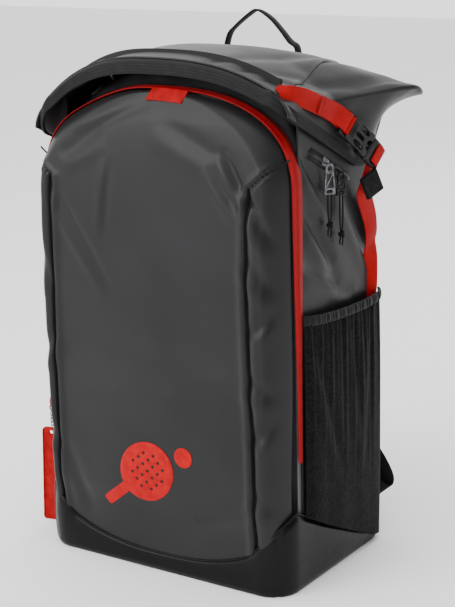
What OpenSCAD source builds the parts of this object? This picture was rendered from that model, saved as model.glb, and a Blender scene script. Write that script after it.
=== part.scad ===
/* [Bag body] */
// Width of the bag body across the side panels
body_w = 304; // [296:2:312]
// Height of the racket compartment's arched top
arch_top = 510; // [504:1:512]
// Height where the sides of the arch start to curve inwards
arch_spring = 415; // [400:1:425]
// Depth of the front tray in front of its zip
tray_depth = 33; // [28:1:34]
// Wall thickness of the coated fabric shells
wall = 2.5; // [2:0.5:3]

/* [Flap] */
// Height of the flap's crest
crest_top = 541; // [539:1:545]
// Half width of the flap at its rear tips
tip_half = 208; // [200:1:212]

/* [Straps] */
// Width of the red closure webbing
web_w = 20; // [18:1:22]
// Width of the padded shoulder straps
strap_w = 62; // [56:1:66]
// Depth that the male buckle goes into the female one
insertion = 15; // [13:1:17]

/* [Side pockets] */
// Top of the side pockets
pocket_top = 293; // [280:1:296]
// How far a side pocket stands out from the side
pocket_out = 13; // [10:1:15]

/* [Hidden] */
$fn = 32;
half_w = body_w / 2;
zip_y = -70;            // plane of the racket compartment's zip
back_y = 100;           // outer face of the back panel
hinge_z = 133;          // fold line of the racket door
fit = 0.3;              // clearance between sewn neighbours
arch_power = 2.5;
tape_w = 5;
black = [0.09, 0.09, 0.1];
charcoal = [0.2, 0.2, 0.21];
red = [0.85, 0.1, 0.1];
plastic = [0.13, 0.13, 0.14];
silver = [0.75, 0.75, 0.77];

// Buckle frame: mouth of the female buckle, and its two turns
mouth = [171.5, 38, 448];
buckle_tilt = 138.5;
buckle_turn = -14.4;

// Side zip line, parallel to the flap's hem
zip_line_turn = -27;
zip_line_mid = [half_w + 1, -6, 433];

function clamp(v) = min(1, max(0, v));
function flip(s, p) = [s * p[0], p[1], p[2]];
function reversed(l) = [for (i = [len(l) - 1 : -1 : 0]) l[i]];

// Outline of the arch as a list of [x, z], from the left foot over the top to the right foot
function arch_half(half, foot, top, steps = 16) = concat(
    [[half, foot]],
    [for (i = [0 : steps]) let (a = 90 * i / steps)
        [half * pow(cos(a), 2 / arch_power), arch_spring + (top - arch_spring) * pow(sin(a), 2 / arch_power)]]);
function arch(half, foot, top) = let (h = arch_half(half, foot, top))
    concat(h, [for (i = [len(h) - 2 : -1 : 0]) [-h[i][0], h[i][1]]]);

// Half width of the tray at height z
function tray_half(z) = z <= arch_spring ? half_w
    : half_w * pow(max(0.0005, 1 - pow((z - arch_spring) / (arch_top - arch_spring), arch_power)), 1 / arch_power);
// How far the tray stands in front of its zip, at its middle and at a distance from its side
function tray_out(z) = 2 + (tray_depth - 2) * pow(1 - pow(clamp((z - 300) / (arch_top - 300)), 2.6), 0.7);
function tray_ramp(d) = sin(90 * clamp(d / 26));
function tray_y(x, z, half) = zip_y - 3 - tray_out(z) * tray_ramp(half - abs(x));

// One closed shell between an outer and an inner grid of points, rows by columns
module grid_shell(outer, inner) {
    rows = len(outer);
    cols = len(outer[0]);
    n = rows * cols;
    points = concat([for (r = outer) each r], [for (r = inner) each r]);
    function at(r, c) = r * cols + c;
    faces = concat(
        [for (r = [0 : rows - 2], c = [0 : cols - 2]) each [
            [at(r, c), at(r, c + 1), at(r + 1, c + 1)], [at(r, c), at(r + 1, c + 1), at(r + 1, c)],
            [n + at(r, c), n + at(r + 1, c + 1), n + at(r, c + 1)],
            [n + at(r, c), n + at(r + 1, c), n + at(r + 1, c + 1)]]],
        [for (c = [0 : cols - 2]) each [
            [at(0, c), n + at(0, c), n + at(0, c + 1)], [at(0, c), n + at(0, c + 1), at(0, c + 1)],
            [at(rows - 1, c), n + at(rows - 1, c + 1), n + at(rows - 1, c)],
            [at(rows - 1, c), at(rows - 1, c + 1), n + at(rows - 1, c + 1)]]],
        [for (r = [0 : rows - 2]) each [
            [at(r, 0), n + at(r + 1, 0), n + at(r, 0)], [at(r, 0), at(r + 1, 0), n + at(r + 1, 0)],
            [at(r, cols - 1), n + at(r, cols - 1), n + at(r + 1, cols - 1)],
            [at(r, cols - 1), n + at(r + 1, cols - 1), at(r + 1, cols - 1)]]]);
    polyhedron(points, faces, convexity = 6);
}

module rounded(w, d, r) {
    square([w - 2 * r, d], center = true);
    square([w, d - 2 * r], center = true);
    for (x = [-1, 1], y = [-1, 1])
        translate([x * (w / 2 - r), y * (d / 2 - r)]) circle(r);
}

// A plate in the XZ plane, from an [x, z] outline
module upright(y0, y1) {
    translate([0, y1, 0]) rotate([90, 0, 0]) linear_extrude(y1 - y0) children();
}

// A plate in the YZ plane, from a [y, z] outline
module sideways(x0, x1) {
    translate([x0, 0, 0]) rotate([90, 0, 90]) linear_extrude(x1 - x0) children();
}

module on_side(s) {
    if (s > 0) children();
    else mirror([1, 0, 0]) children();
}

// ---- base and back ----
base_front = -100;
base_back = 100;
base_mid = (base_front + base_back) / 2;

module base_plan(grow) {
    translate([0, base_mid]) rounded(2 * (half_w - 5) + 2 * grow, base_back - base_front + 2 * grow, 22 + grow);
}

module base_panel() {
    color(black) linear_extrude(4) base_plan(boot_out - 2.5);
}

// Boot that wraps the base: low at the middle of the front, high at its corners, running out at the back
boot_out = 9;
boot_rise = [[base_front - 20, 95], [-75, 85], [-29, 59], [24, 33], [68, 12], [base_back + 10, 5]];
module base_boot() {
    color(black) difference() {
        linear_extrude(95) base_plan(boot_out);
        translate([0, 0, -1]) linear_extrude(97) base_plan(boot_out - 2);
        sideways(-200, 200) polygon(concat(boot_rise, [[base_back + 20, 120], [base_front - 20, 120]]));
        upright(base_front - 12, base_front + 8) polygon([for (i = [0 : 20]) let (x = -134 + 268 * i / 20)
            i == 0 || i == 20 ? [x, 120] : [x, 20 + 34 * pow(abs(x) / 134, 2)]]);
    }
}

module base_board() {
    color("dimgray") translate([0, 18, 5]) linear_extrude(3) rounded(276, 142, 12);
}

module back_panel() {
    color(charcoal) upright(back_y - 4, back_y) translate([0, 256]) rounded(2 * (half_w - 10), 496, 26);
}

module back_frame_sheet() {
    color("gainsboro") upright(92, 94) translate([0, 250]) rounded(236, 460, 20);
}

module back_pad(s) {
    color(charcoal) translate([s * 72, 0, 0]) upright(back_y + fit, back_y + 11) translate([0, 250]) rounded(96, 370, 24);
}

// ---- sides ----
module side_panel(s) {
    color(charcoal) on_side(s) sideways(half_w - 3, half_w - 0.5)
        polygon([[-55.7, 6], [86, 6], [86, 474], [60, 486], [-55.7, 486]]);
}

module divider_panel() {
    color("dimgray") upright(-56, -52) polygon(arch(half_w - 4, 10, arch_top - 12));
}

module racket_rim() {
    color(black) upright(zip_y + 2.3, -56.3) difference() {
        polygon(arch(half_w - fit, 6, arch_top - 1));
        translate([0, -0.01]) polygon(arch(half_w - 3.3, 5, arch_top - 4));
    }
}

module zip_ring(y0, y1) {
    upright(y0, y1) difference() {
        polygon(arch(half_w + tape_w, hinge_z + 2, arch_top + tape_w));
        translate([0, -0.01]) polygon(arch(half_w + fit, hinge_z + 1, arch_top + fit));
    }
}

module zip_tape_fixed() {
    color(red) zip_ring(zip_y + 0.2, zip_y + 2);
}

module zip_tape_door() {
    color(red) zip_ring(zip_y - 2, zip_y - 0.2);
}

// ---- front tray ----
tray_cols = [-1, -0.985, -0.965, -0.94, -0.91, -0.88, -0.85, -0.82, -0.6, -0.3, 0,
    0.3, 0.6, 0.82, 0.85, 0.88, 0.91, 0.94, 0.965, 0.985, 1];
function tray_row(z, back) = let (half = tray_half(z))
    [for (u = tray_cols) [u * half, tray_y(u * half, z, half) + back, z]];
lower_levels = [for (i = [0 : 8]) 4.5 + (hinge_z - 5) * i / 8];
upper_levels = concat([for (i = [0 : 11]) hinge_z + 0.5 + (arch_spring - hinge_z - 0.5) * i / 12],
    [for (i = [0 : 13]) arch_spring + (arch_top - arch_spring) * pow(sin(88 * i / 13), 2 / arch_power)]);

module front_lower_panel() {
    color(charcoal) grid_shell([for (z = lower_levels) tray_row(z, 0)],
        [for (z = lower_levels) tray_row(z, wall)]);
}

module front_panel() {
    color(charcoal) grid_shell([for (z = upper_levels) tray_row(z, 0)],
        [for (z = upper_levels) tray_row(z, wall)]);
}

// Printed graphic: a plain paddle and a ball
graphic_mid = [-10, 112];
module graphic_outline() {
    translate(graphic_mid) {
        rotate(-52) difference() {
            union() {
                scale([1, 1.12]) circle(32);
                translate([-6, -72]) square([12, 46]);
            }
            for (i = [-2 : 2], j = [-2 : 2]) translate([i * 9, j * 9 + 2]) circle(1.8);
        }
        translate([48, 24]) circle(11);
    }
}

module graphic(z0, z1) {
    front = zip_y - 3 - tray_depth;
    color(red) upright(front - 0.9, front - fit) intersection() {
        graphic_outline();
        translate([-120, z0]) square([240, z1 - z0]);
    }
}

module sewn_tag() {
    color(red) upright(zip_y - 17.5, zip_y - 16) translate([14, arch_top - 12]) square([50, 12], center = true);
}

// ---- inside ----
module laptop_sleeve() {
    color("dimgray") difference() {
        translate([-132, 68, 10]) cube([264, 23, 320]);
        translate([-128, 72, 14]) cube([256, 30, 330]);
    }
}

// ---- side pockets ----
pocket_mid = 12;
pocket_half = 80;
function pocket_x(y, in) = half_w + fit + (pocket_out - in) * pow(max(0, 1 - pow(abs(y - pocket_mid) / (pocket_half - in), 4)), 0.5);
function pocket_line(in) = [for (i = [-12 : 12]) let (y = pocket_mid + (pocket_half - in) * sin(90 * i / 12)) [pocket_x(y, in), y]];

module pocket_wall(in, out) {
    difference() {
        polygon([for (p = pocket_line(0)) p + [out, 0]]);
        translate([-0.01, 0]) polygon(pocket_line(in));
    }
}

// The part of a side above the boot's sloping top edge
module above_boot(gap) {
    sideways(0, 200) polygon(concat([for (p = boot_rise) p + [0, gap]], [[back_y + 13, 500], [base_front - 20, 500]]));
}

module mesh_pocket(s) {
    color(black) on_side(s) difference() {
        intersection() {
            linear_extrude(pocket_top - 11) polygon(pocket_line(0));
            above_boot(1.5);
        }
        intersection() {
            translate([-0.01, 0, 0]) linear_extrude(pocket_top) polygon(pocket_line(1.6));
            above_boot(3.5);
        }
    }
}

module pocket_hem(s) {
    color(black) on_side(s) translate([0, 0, pocket_top - 10.6]) linear_extrude(10.6) difference() {
        polygon(pocket_line(0));
        translate([-0.01, 0]) polygon(pocket_line(2.4));
    }
}

module main_zip_tape(s) {
    color(black) on_side(s) translate([half_w - 0.2, -6, 433]) rotate([zip_line_turn, 0, 0])
        translate([0, -52, -5]) cube([0.8, 96, 10]);
}

// ---- back fittings ----
module strap_yoke() {
    color(charcoal) upright(back_y + fit, back_y + 4) translate([0, 466]) rounded(250, 46, 10);
}

module strap_anchor(s) {
    color(black) on_side(s) upright(back_y + fit, back_y + 4) polygon([[123, 108], [137, 84], [143, 40], [123, 40]]);
}

module lower_webbing(s) {
    color(red) on_side(s) translate([half_w + 0.2, 0, 0]) sideways(0, 1.8)
        polygon([[60, 250], [80, 250], [78, 340], [70, 378], [50, 378], [58, 340]]);
}

module haul_anchor() {
    color(black) upright(back_y + fit, back_y + 3.2) translate([0, 496]) rounded(112, 14, 4);
}

// ---- flap ----
flap_front = -88;
flap_levels = [flap_front, -80, -64, -40, -12, 8, 24, 40, 54, 66, 76, 86, 94, back_y];
function flap_half(y) = lookup(y, [[-88, 150], [-40, 152], [0, 158], [30, 176], [54, 197], [76, tip_half], [100, tip_half - 5]]);
function flap_edge(y) = lookup(y, [[-88, 506], [-40, 500], [0, 497], [30, 499], [76, 503], [100, 497]]);
function flap_crest(y) = crest_top - lookup(y, [[-88, 4], [-60, 0], [20, 0], [60, 7], [80, 14], [100, 23]]);
function flap_hem(y) = lookup(y, [[-88, 496], [-12, 455], [44, 427], [62, 424], [80, 446], [100, 478]]);
function roof_point(u, y, in) = let (w = flap_half(y) - in)
    [u * w, y, flap_edge(y) - in + (flap_crest(y) - flap_edge(y)) * (1 - pow(abs(u), 2.6))];
function skirt_point(t, y, in) = let (low = half_w + 4 - in, w = flap_half(y) - in)
    [low + (w - low) * pow(t, 2.2), y, flap_hem(y) + (flap_edge(y) - in - flap_hem(y)) * t];

roof_cols = [for (i = [-8 : 8]) 0.8 * i / 8];
wing_cols = [0.81, 0.86, 0.91, 0.95, 0.98];
skirt_cols = [1, 0.9, 0.75, 0.55, 0.35, 0.15, 0];

module roll_top_cover() {
    color(charcoal) grid_shell([for (y = flap_levels) [for (u = roof_cols) roof_point(u, y, 0)]],
        [for (y = flap_levels) [for (u = roof_cols) roof_point(u, y, wall)]]);
}

function wing_row(y, in) = concat([for (u = wing_cols) roof_point(u, y, in)], [for (t = skirt_cols) skirt_point(t, y, in)]);

module wing(s) {
    color(charcoal) on_side(s) grid_shell([for (y = flap_levels) wing_row(y, 0)],
        [for (y = flap_levels) wing_row(y, wall)]);
}

// Hem band: a strip that follows the flap's lower edge round its front
hem_w = 11;
function front_z(x) = roof_point(min(1, abs(x) / 150), flap_front, 0)[2];
hem_path = concat(
    [for (i = [0 : 9]) let (y = 60 - 14 * i) [half_w + 5.7, y, flap_hem(y) + 0.5]],
    [for (i = [0 : 5]) let (a = 90 * i / 5) [half_w - 9 + 14.7 * pow(cos(a), 0.3), -76 - 14.6 * pow(sin(a), 0.3),
        flap_hem(-70) + (front_z(132) - hem_w - flap_hem(-70)) * i / 5]],
    [for (i = [0 : 12]) let (x = 130 - 10 * i * 13 / 12) [x, -90.6, front_z(x) - hem_w]]);
hem_full = concat(hem_path, [for (i = [len(hem_path) - 2 : -1 : 0]) flip(-1, hem_path[i])]);
function hem_out(p) = abs(p[0]) > half_w - 4 ? [sign(p[0]), 0, 0]
    : abs(p[0]) > half_w - 12 ? [sign(p[0]) * 0.7, -0.7, 0] : [0, -1, 0];

module hem_band() {
    color(black) grid_shell(
        [for (p = hem_full) [p + hem_out(p) * 2, p + hem_out(p) * 2 + [0, 0, hem_w]]],
        [for (p = hem_full) [p, p + [0, 0, hem_w]]]);
}

// Red closure strap, laid over the flap's side from its front corner to the buckle
strap_route = [[151.5, -70, 512], [155.6, -50, 505], [156.2, -30, 496], [158, -12, 488], [161.6, 2.6, 480.4]];
module upper_strap(s) {
    across = [0.05, 0.315, 0.385] * web_w;
    color(red) on_side(s) grid_shell(
        [for (p = strap_route) [p + across + [2.6, 0, 0], p - across + [2.6, 0, 0]]],
        [for (p = strap_route) [p + across + [0.9, 0, 0], p - across + [0.9, 0, 0]]]);
}

// ---- buckles, drawn with their length along Y, their width along Z and their thickness along X ----
module buckle_frame(s) {
    on_side(s) translate(mouth) rotate([buckle_tilt, 0, buckle_turn]) children();
}

module female_buckle(s) {
    color(plastic) buckle_frame(s) difference() {
        union() {
            translate([-5, 0, -14]) cube([10, 34, 28]);
            translate([-3, 34, -13]) cube([6, 12, 26]);
        }
        translate([-3, -1, -11.4]) cube([6, 31, 22.8]);
        translate([-2.6, 11, -20]) cube([5.2, 13, 40]);
        translate([-10, -1, -4]) cube([20, 10, 8]);
        translate([-10, 37.5, -10.5]) cube([20, 4.5, 21]);
    }
}

module male_buckle(s) {
    color(plastic) buckle_frame(s) difference() {
        union() {
            translate([-4.4, -9, -13]) cube([8.8, 8.4, 26]);
            translate([-3, -20, -12.5]) cube([6, 11.5, 25]);
            for (w = [-10.4, 7.4]) translate([-2.2, -1, w]) cube([4.4, insertion, 3]);
            translate([-2, -1, -1.6]) cube([4, insertion - 1, 3.2]);
        }
        translate([-10, -17, -10.4]) cube([20, 4.5, 20.8]);
    }
}

module male_webbing(s) {
    color(red) buckle_frame(s) {
        translate([3.3, -20.5, -web_w / 2]) cube([1.6, 10.8, web_w]);
        translate([-4.9, -40, -web_w / 2]) cube([1.6, 24, web_w]);
        translate([-4.9, -22.3, -web_w / 2]) cube([9.8, 1.8, web_w]);
    }
}

// ---- haul loop ----
loop_y = 107.5;
loop_foot = 490;
module haul_loop() {
    color(black) upright(loop_y - 4, loop_y + 4) difference() {
        union() {
            translate([0, 530]) scale([1, 0.98]) circle(50);
            translate([-50, loop_foot]) square([100, 40]);
        }
        translate([0, 530]) scale([1, 0.98]) circle(47.4);
        translate([-47.4, loop_foot - 1]) square([94.8, 41]);
        translate([-80, loop_foot - 61]) square([160, 61]);
    }
}

// ---- zip sliders ----
module slider_shape() {
    difference() {
        union() {
            translate([0, -4.5, -6]) cube([3, 9, 12]);
            translate([3, -1.2, -4]) cube([3, 2.4, 8]);
        }
        translate([2.9, -3, -2.6]) cube([2, 6, 5.2]);
    }
}

racket_slider_at = [-half_w - tape_w - 0.5, zip_y, 160];
module racket_slider() {
    color(plastic) translate(racket_slider_at) mirror([1, 0, 0]) slider_shape();
}

fob_x = -172;
module fob_link() {
    color(silver) {
        translate([fob_x, zip_y, 148]) rotate([90, 0, 0]) rotate_extrude() translate([4.2, 0]) circle(1.1);
        translate([fob_x, zip_y - 1.1, 119]) cylinder(h = 25, r = 1.4);
    }
}

module fob_tag() {
    color(red) upright(zip_y - 3.5, zip_y + 1.3) difference() {
        translate([fob_x - 4, 63]) rounded(22, 110, 4);
        translate([fob_x - 4, 110]) circle(2.5);
    }
}

// Sliders and pullers on the right-hand side zip
module on_zip_line(along) {
    translate(zip_line_mid) rotate([zip_line_turn, 0, 0]) translate([0, along, 0]) children();
}

module puller_shape() {
    difference() {
        union() {
            translate([0, -6, -33]) cube([2, 12, 33]);
            translate([-0.4, -7, -38]) cube([2.8, 14, 6]);
        }
        translate([-1, -3, -14]) cube([4, 6, 11]);
    }
}

front_along = -14;
rear_along = 12;
module main_slider_front() { color(silver) on_zip_line(front_along) rotate([90, 0, 0]) slider_shape(); }
module main_slider_rear() { color(plastic) on_zip_line(rear_along) rotate([90, 0, 0]) slider_shape(); }

function zip_place(along) = zip_line_mid + [0, along * cos(zip_line_turn), along * sin(zip_line_turn)];
module main_puller_front() { color(silver) translate(zip_place(front_along) + [6.6, 0, -1]) puller_shape(); }
module main_puller_rear() { color(plastic) translate(zip_place(rear_along) + [6.6, 0, -1]) puller_shape(); }

// ---- shoulder straps ----
strap_x = 74;
function strap_bow(t) = [115 + 30 * sin(180 * t), 470 - 300 * t];
module shoulder_pad(s) {
    color(charcoal) sideways(s * strap_x - strap_w / 2, s * strap_x + strap_w / 2) polygon(concat(
        [for (i = [0 : 16]) strap_bow(i / 16)],
        [for (i = [16 : -1 : 0]) strap_bow(i / 16) + [11, 2]]));
}

module ladder_lock(s) {
    color(plastic) translate([s * strap_x, 120, 158]) difference() {
        translate([-17, -3, -11]) cube([34, 6, 22]);
        for (z = [-7, 2]) translate([-13, -4, z]) cube([26, 8, 4]);
    }
}

module strap_webbing(s) {
    color(black) on_side(s) upright(115, 116.6) polygon([[60, 145], [86, 145], [143, 47], [119, 47]]);
}

base_panel();
base_boot();
base_board();
back_panel();
back_frame_sheet();
back_pad(-1);  // back_pad_left
back_pad(1);  // back_pad_right
side_panel(-1);  // side_panel_left
side_panel(1);  // side_panel_right
divider_panel();
racket_rim();
zip_tape_fixed();
front_lower_panel();
graphic(40, hinge_z - 0.5);  // graphic_lower
laptop_sleeve();
mesh_pocket(-1);  // mesh_pocket_left
mesh_pocket(1);  // mesh_pocket_right
pocket_hem(-1);  // pocket_hem_left
pocket_hem(1);  // pocket_hem_right
main_zip_tape(-1);  // main_zip_tape_left
main_zip_tape(1);  // main_zip_tape_right
strap_yoke();
strap_anchor(-1);  // strap_anchor_left
strap_anchor(1);  // strap_anchor_right
lower_webbing(-1);  // lower_webbing_left
lower_webbing(1);  // lower_webbing_right
haul_anchor();
front_panel();
zip_tape_door();
sewn_tag();
graphic(hinge_z + 0.5, 200);  // graphic_upper
roll_top_cover();
wing(-1);  // wing_left
wing(1);  // wing_right
hem_band();
upper_strap(-1);  // upper_strap_left
upper_strap(1);  // upper_strap_right
female_buckle(-1);  // female_buckle_left
female_buckle(1);  // female_buckle_right
male_buckle(-1);  // male_buckle_left
male_buckle(1);  // male_buckle_right
male_webbing(-1);  // male_webbing_left
male_webbing(1);  // male_webbing_right
haul_loop();
racket_slider();
fob_link();
fob_tag();
main_slider_front();
main_puller_front();
main_slider_rear();
main_puller_rear();
shoulder_pad(-1);  // shoulder_pad_left
shoulder_pad(1);  // shoulder_pad_right
ladder_lock(-1);  // ladder_lock_left
ladder_lock(1);  // ladder_lock_right
strap_webbing(-1);  // strap_webbing_left
strap_webbing(1);  // strap_webbing_right
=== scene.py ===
"""Racket backpack: soft shells, straps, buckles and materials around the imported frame.

Shapes are worked out in millimetres and turned into metres when a mesh is made.
"""
import math

import bmesh
import bpy
import numpy as np
from mathutils import Matrix, Vector


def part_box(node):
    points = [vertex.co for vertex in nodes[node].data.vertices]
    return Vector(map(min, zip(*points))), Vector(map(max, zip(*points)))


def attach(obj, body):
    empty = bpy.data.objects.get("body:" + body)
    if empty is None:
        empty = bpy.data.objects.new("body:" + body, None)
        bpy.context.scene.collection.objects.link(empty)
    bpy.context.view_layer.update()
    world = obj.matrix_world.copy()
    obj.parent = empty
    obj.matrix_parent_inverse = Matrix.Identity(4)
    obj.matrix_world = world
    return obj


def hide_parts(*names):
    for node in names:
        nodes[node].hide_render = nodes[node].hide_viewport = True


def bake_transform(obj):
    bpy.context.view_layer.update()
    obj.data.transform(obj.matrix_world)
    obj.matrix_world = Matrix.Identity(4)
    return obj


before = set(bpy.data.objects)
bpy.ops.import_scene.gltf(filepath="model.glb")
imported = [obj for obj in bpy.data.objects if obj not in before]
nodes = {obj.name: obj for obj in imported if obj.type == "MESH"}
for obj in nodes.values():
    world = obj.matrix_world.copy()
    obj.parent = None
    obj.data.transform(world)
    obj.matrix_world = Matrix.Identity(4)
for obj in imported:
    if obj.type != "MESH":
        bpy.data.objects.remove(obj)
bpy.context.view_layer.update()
MM = 0.001
SIDES = ((1, "right"), (-1, "left"))


# ---------------------------------------------------------------- camera and stage
def aim_camera():
    """A long lens, from the front right and a little above."""
    azimuth, elevation, roll = math.radians(34.08), math.radians(14.92), math.radians(-1.44)
    target, distance = Vector((0.0221, 0, 0.273)), 1.7178
    back = Vector((math.sin(azimuth) * math.cos(elevation), -math.cos(azimuth) * math.cos(elevation),
                   math.sin(elevation)))
    data = bpy.data.cameras.new("camera")
    data.lens = 94.92
    data.sensor_width = 36
    cam = bpy.data.objects.new("camera", data)
    bpy.context.scene.collection.objects.link(cam)
    turn = back.to_track_quat("Z", "Y").to_matrix().to_4x4() @ Matrix.Rotation(roll, 4, "Z")
    cam.matrix_world = Matrix.Translation(target + back * distance) @ turn
    bpy.context.scene.camera = cam


def add_light(name, place, target, size, power, color=(1, 1, 1)):
    """One area light, aimed at the bag."""
    data = bpy.data.lights.new(name, "AREA")
    data.size, data.energy, data.color = size, power, color
    light = bpy.data.objects.new(name, data)
    bpy.context.scene.collection.objects.link(light)
    aim = (Vector(target) - Vector(place)).to_track_quat("-Z", "Y").to_matrix().to_4x4()
    light.matrix_world = Matrix.Translation(Vector(place)) @ aim


def build_stage():
    """The ground, the world light and the lamps of the photo."""
    half = 6.0
    mesh = bpy.data.meshes.new("floor")
    mesh.from_pydata([(-half, -half, 0), (half, -half, 0), (half, half, 0), (-half, half, 0)],
                     [], [(0, 1, 2, 3)])
    floor = bpy.data.objects.new("floor", mesh)
    bpy.context.scene.collection.objects.link(floor)
    pale = bpy.data.materials.new("pale_floor")
    pale.use_nodes = True
    shader = pale.node_tree.nodes["Principled BSDF"]
    shader.inputs["Base Color"].default_value = (0.97, 0.97, 0.97, 1)
    shader.inputs["Roughness"].default_value = 0.9
    floor.data.materials.append(pale)
    world = bpy.data.worlds.new("studio")
    world.use_nodes = True
    world.node_tree.nodes["Background"].inputs["Color"].default_value = (1, 1, 1, 1)
    tree = world.node_tree
    coords, split = tree.nodes.new("ShaderNodeTexCoord"), tree.nodes.new("ShaderNodeSeparateXYZ")
    level = tree.nodes.new("ShaderNodeMapRange")
    for socket, value in (("From Min", -0.1), ("From Max", 0.9), ("To Min", 1.9), ("To Max", 0.45)):
        level.inputs[socket].default_value = value
    tree.links.new(coords.outputs["Generated"], split.inputs["Vector"])
    tree.links.new(split.outputs["X"], level.inputs["Value"])
    tree.links.new(level.outputs["Result"], tree.nodes["Background"].inputs["Strength"])
    bpy.context.scene.world = world
    add_light("key", (-1.1, -1.9, 1.5), (0, 0, 0.3), 1.3, 34)
    add_light("top", (0.2, -0.3, 2.1), (0, 0, 0.5), 1.2, 14)
    add_light("side", (1.2, -2.2, 1.3), (0.1, 0, 0.3), 0.6, 5)
    add_light("rear", (0.3, 2.2, 1.4), (0, 0, 0.3), 1.4, 12)


aim_camera()
build_stage()


# ---------------------------------------------------------------- materials
class Look:
    """A small helper that wires a Principled material from procedural parts."""

    def __init__(self, name, rough=0.5, metallic=0.0, coat=0.0, coat_rough=0.2, sheen=0.0, specular=0.2):
        """A new material with its base look and its coordinates."""
        self.material = bpy.data.materials.new(name)
        self.material.use_nodes = True
        self.tree = self.material.node_tree
        self.shader = self.tree.nodes["Principled BSDF"]
        self.shader.inputs["Roughness"].default_value = rough
        self.shader.inputs["Metallic"].default_value = metallic
        self.shader.inputs["Coat Weight"].default_value = coat
        self.shader.inputs["Coat Roughness"].default_value = coat_rough
        self.shader.inputs["Sheen Weight"].default_value = sheen
        self.shader.inputs["Specular IOR Level"].default_value = specular
        self.normal = None
        coords = self.tree.nodes.new("ShaderNodeTexCoord")
        self.local, self.uv = coords.outputs["Object"], coords.outputs["UV"]

    def node(self, kind, **settings):
        """Add a node with its settings."""
        n = self.tree.nodes.new(kind)
        for key, value in settings.items():
            if key in n.inputs:
                n.inputs[key].default_value = value
            else:
                setattr(n, key, value)
        return n

    def link(self, a, b):
        """Link one socket to another."""
        self.tree.links.new(a, b)

    def noise(self, scale, detail=4.0, rough=0.55, where=None, stretch=None):
        """Noise at a scale, as a socket."""
        source = where or self.local
        if stretch:
            mapping = self.node("ShaderNodeMapping")
            mapping.inputs["Scale"].default_value = stretch
            self.link(source, mapping.inputs["Vector"])
            source = mapping.outputs["Vector"]
        n = self.node("ShaderNodeTexNoise", Scale=scale, Detail=detail, Roughness=rough)
        self.link(source, n.inputs["Vector"])
        return n.outputs["Fac"]

    def voronoi(self, scale, where=None):
        """Distance to the nearest cell point, as a socket."""
        n = self.node("ShaderNodeTexVoronoi", Scale=scale)
        self.link(where or self.local, n.inputs["Vector"])
        return n.outputs["Distance"]

    def wave(self, period, axis="X", where=None, distort=0.0):
        """Bands of a given period along an axis, as a socket."""
        n = self.node("ShaderNodeTexWave", wave_type="BANDS", bands_direction=axis)
        n.inputs["Scale"].default_value = 2 * math.pi / (20 * period)
        n.inputs["Distortion"].default_value = distort
        self.link(where or self.uv, n.inputs["Vector"])
        return n.outputs["Fac"]

    def mix(self, kind, a, b):
        """Two values joined by a math operation, as a socket."""
        n = self.node("ShaderNodeMath", operation=kind)
        self.link(a, n.inputs[0])
        if isinstance(b, float):
            n.inputs[1].default_value = b
        else:
            self.link(b, n.inputs[1])
        return n.outputs[0]

    def ramp(self, fac, low, high, a=0.35, b=0.65):
        """A socket turned into colours between low and high."""
        n = self.node("ShaderNodeValToRGB")
        n.color_ramp.elements[0].position, n.color_ramp.elements[1].position = a, b
        n.color_ramp.elements[0].color = (*low, 1)
        n.color_ramp.elements[1].color = (*high, 1)
        self.link(fac, n.inputs["Fac"])
        return n.outputs["Color"]

    def color(self, fac, low, high, a=0.35, b=0.65):
        """Colour the base between low and high."""
        self.link(self.ramp(fac, low, high, a, b), self.shader.inputs["Base Color"])

    def roughness(self, fac, low, high):
        """Run the roughness from low to high."""
        n = self.node("ShaderNodeMapRange")
        n.inputs["To Min"].default_value, n.inputs["To Max"].default_value = low, high
        self.link(fac, n.inputs["Value"])
        self.link(n.outputs["Result"], self.shader.inputs["Roughness"])

    def bump(self, height, depth, strength=1.0):
        """Add a bump on top of those before it."""
        n = self.node("ShaderNodeBump", Strength=strength, Distance=depth)
        self.link(height, n.inputs["Height"])
        if self.normal:
            self.link(self.normal, n.inputs["Normal"])
        self.normal = n.outputs["Normal"]
        self.link(self.normal, self.shader.inputs["Normal"])


def coated(name, low, high, rough_low, rough_high, grain=0.00006, coat=0.0, specular=0.2):
    """Polyurethane-coated polyester: a satin skin over a fine grain, with soft handling marks."""
    look = Look(name, coat=coat, coat_rough=0.25, specular=specular)
    broad = look.noise(9, 3, 0.5)
    look.color(broad, low, high, 0.3, 0.7)
    look.roughness(look.noise(26, 5, 0.6), rough_low, rough_high)
    look.bump(look.noise(55, 4, 0.6), 0.0006, 0.35)
    look.bump(look.noise(1400, 2, 0.7), grain, 0.5)
    return look.material


def webbing(name, low, high, period=0.0016, depth=0.00025, rough=0.62):
    """Woven narrow webbing: ribs along the band and picks across it."""
    look = Look(name, rough=rough, sheen=0.02, specular=0.12)
    ribs = look.wave(period, "X")
    picks = look.wave(period * 0.75, "Y", distort=0.6)
    weave = look.mix("MULTIPLY", ribs, picks)
    look.color(look.mix("ADD", look.mix("MULTIPLY", weave, 0.6), look.mix("MULTIPLY", look.noise(60), 0.5)),
               low, high, 0.15, 0.85)
    look.roughness(look.noise(140, 3), rough - 0.1, rough + 0.12)
    look.bump(weave, depth, 0.8)
    return look.material


def net(name, low, high, cell=420.0, depth=0.0004):
    """Knitted mesh: rows of small dark eyes between raised threads."""
    look = Look(name, rough=0.75, sheen=0.01, specular=0.1)
    eyes = look.voronoi(cell)
    look.color(eyes, high, low, 0.25, 0.6)
    look.roughness(look.noise(90), 0.6, 0.9)
    look.bump(look.mix("MULTIPLY", eyes, -1.0), depth, 0.7)
    return look.material


def moulded(name, low, high, rough=0.42, metallic=0.0, specular=0.2):
    """A moulded plastic, with a fine grain."""
    look = Look(name, metallic=metallic, specular=specular)
    look.color(look.noise(120, 3), low, high)
    look.roughness(look.noise(300, 4), rough - 0.08, rough + 0.1)
    look.bump(look.noise(2200, 2), 0.00003, 0.5)
    return look.material


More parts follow.
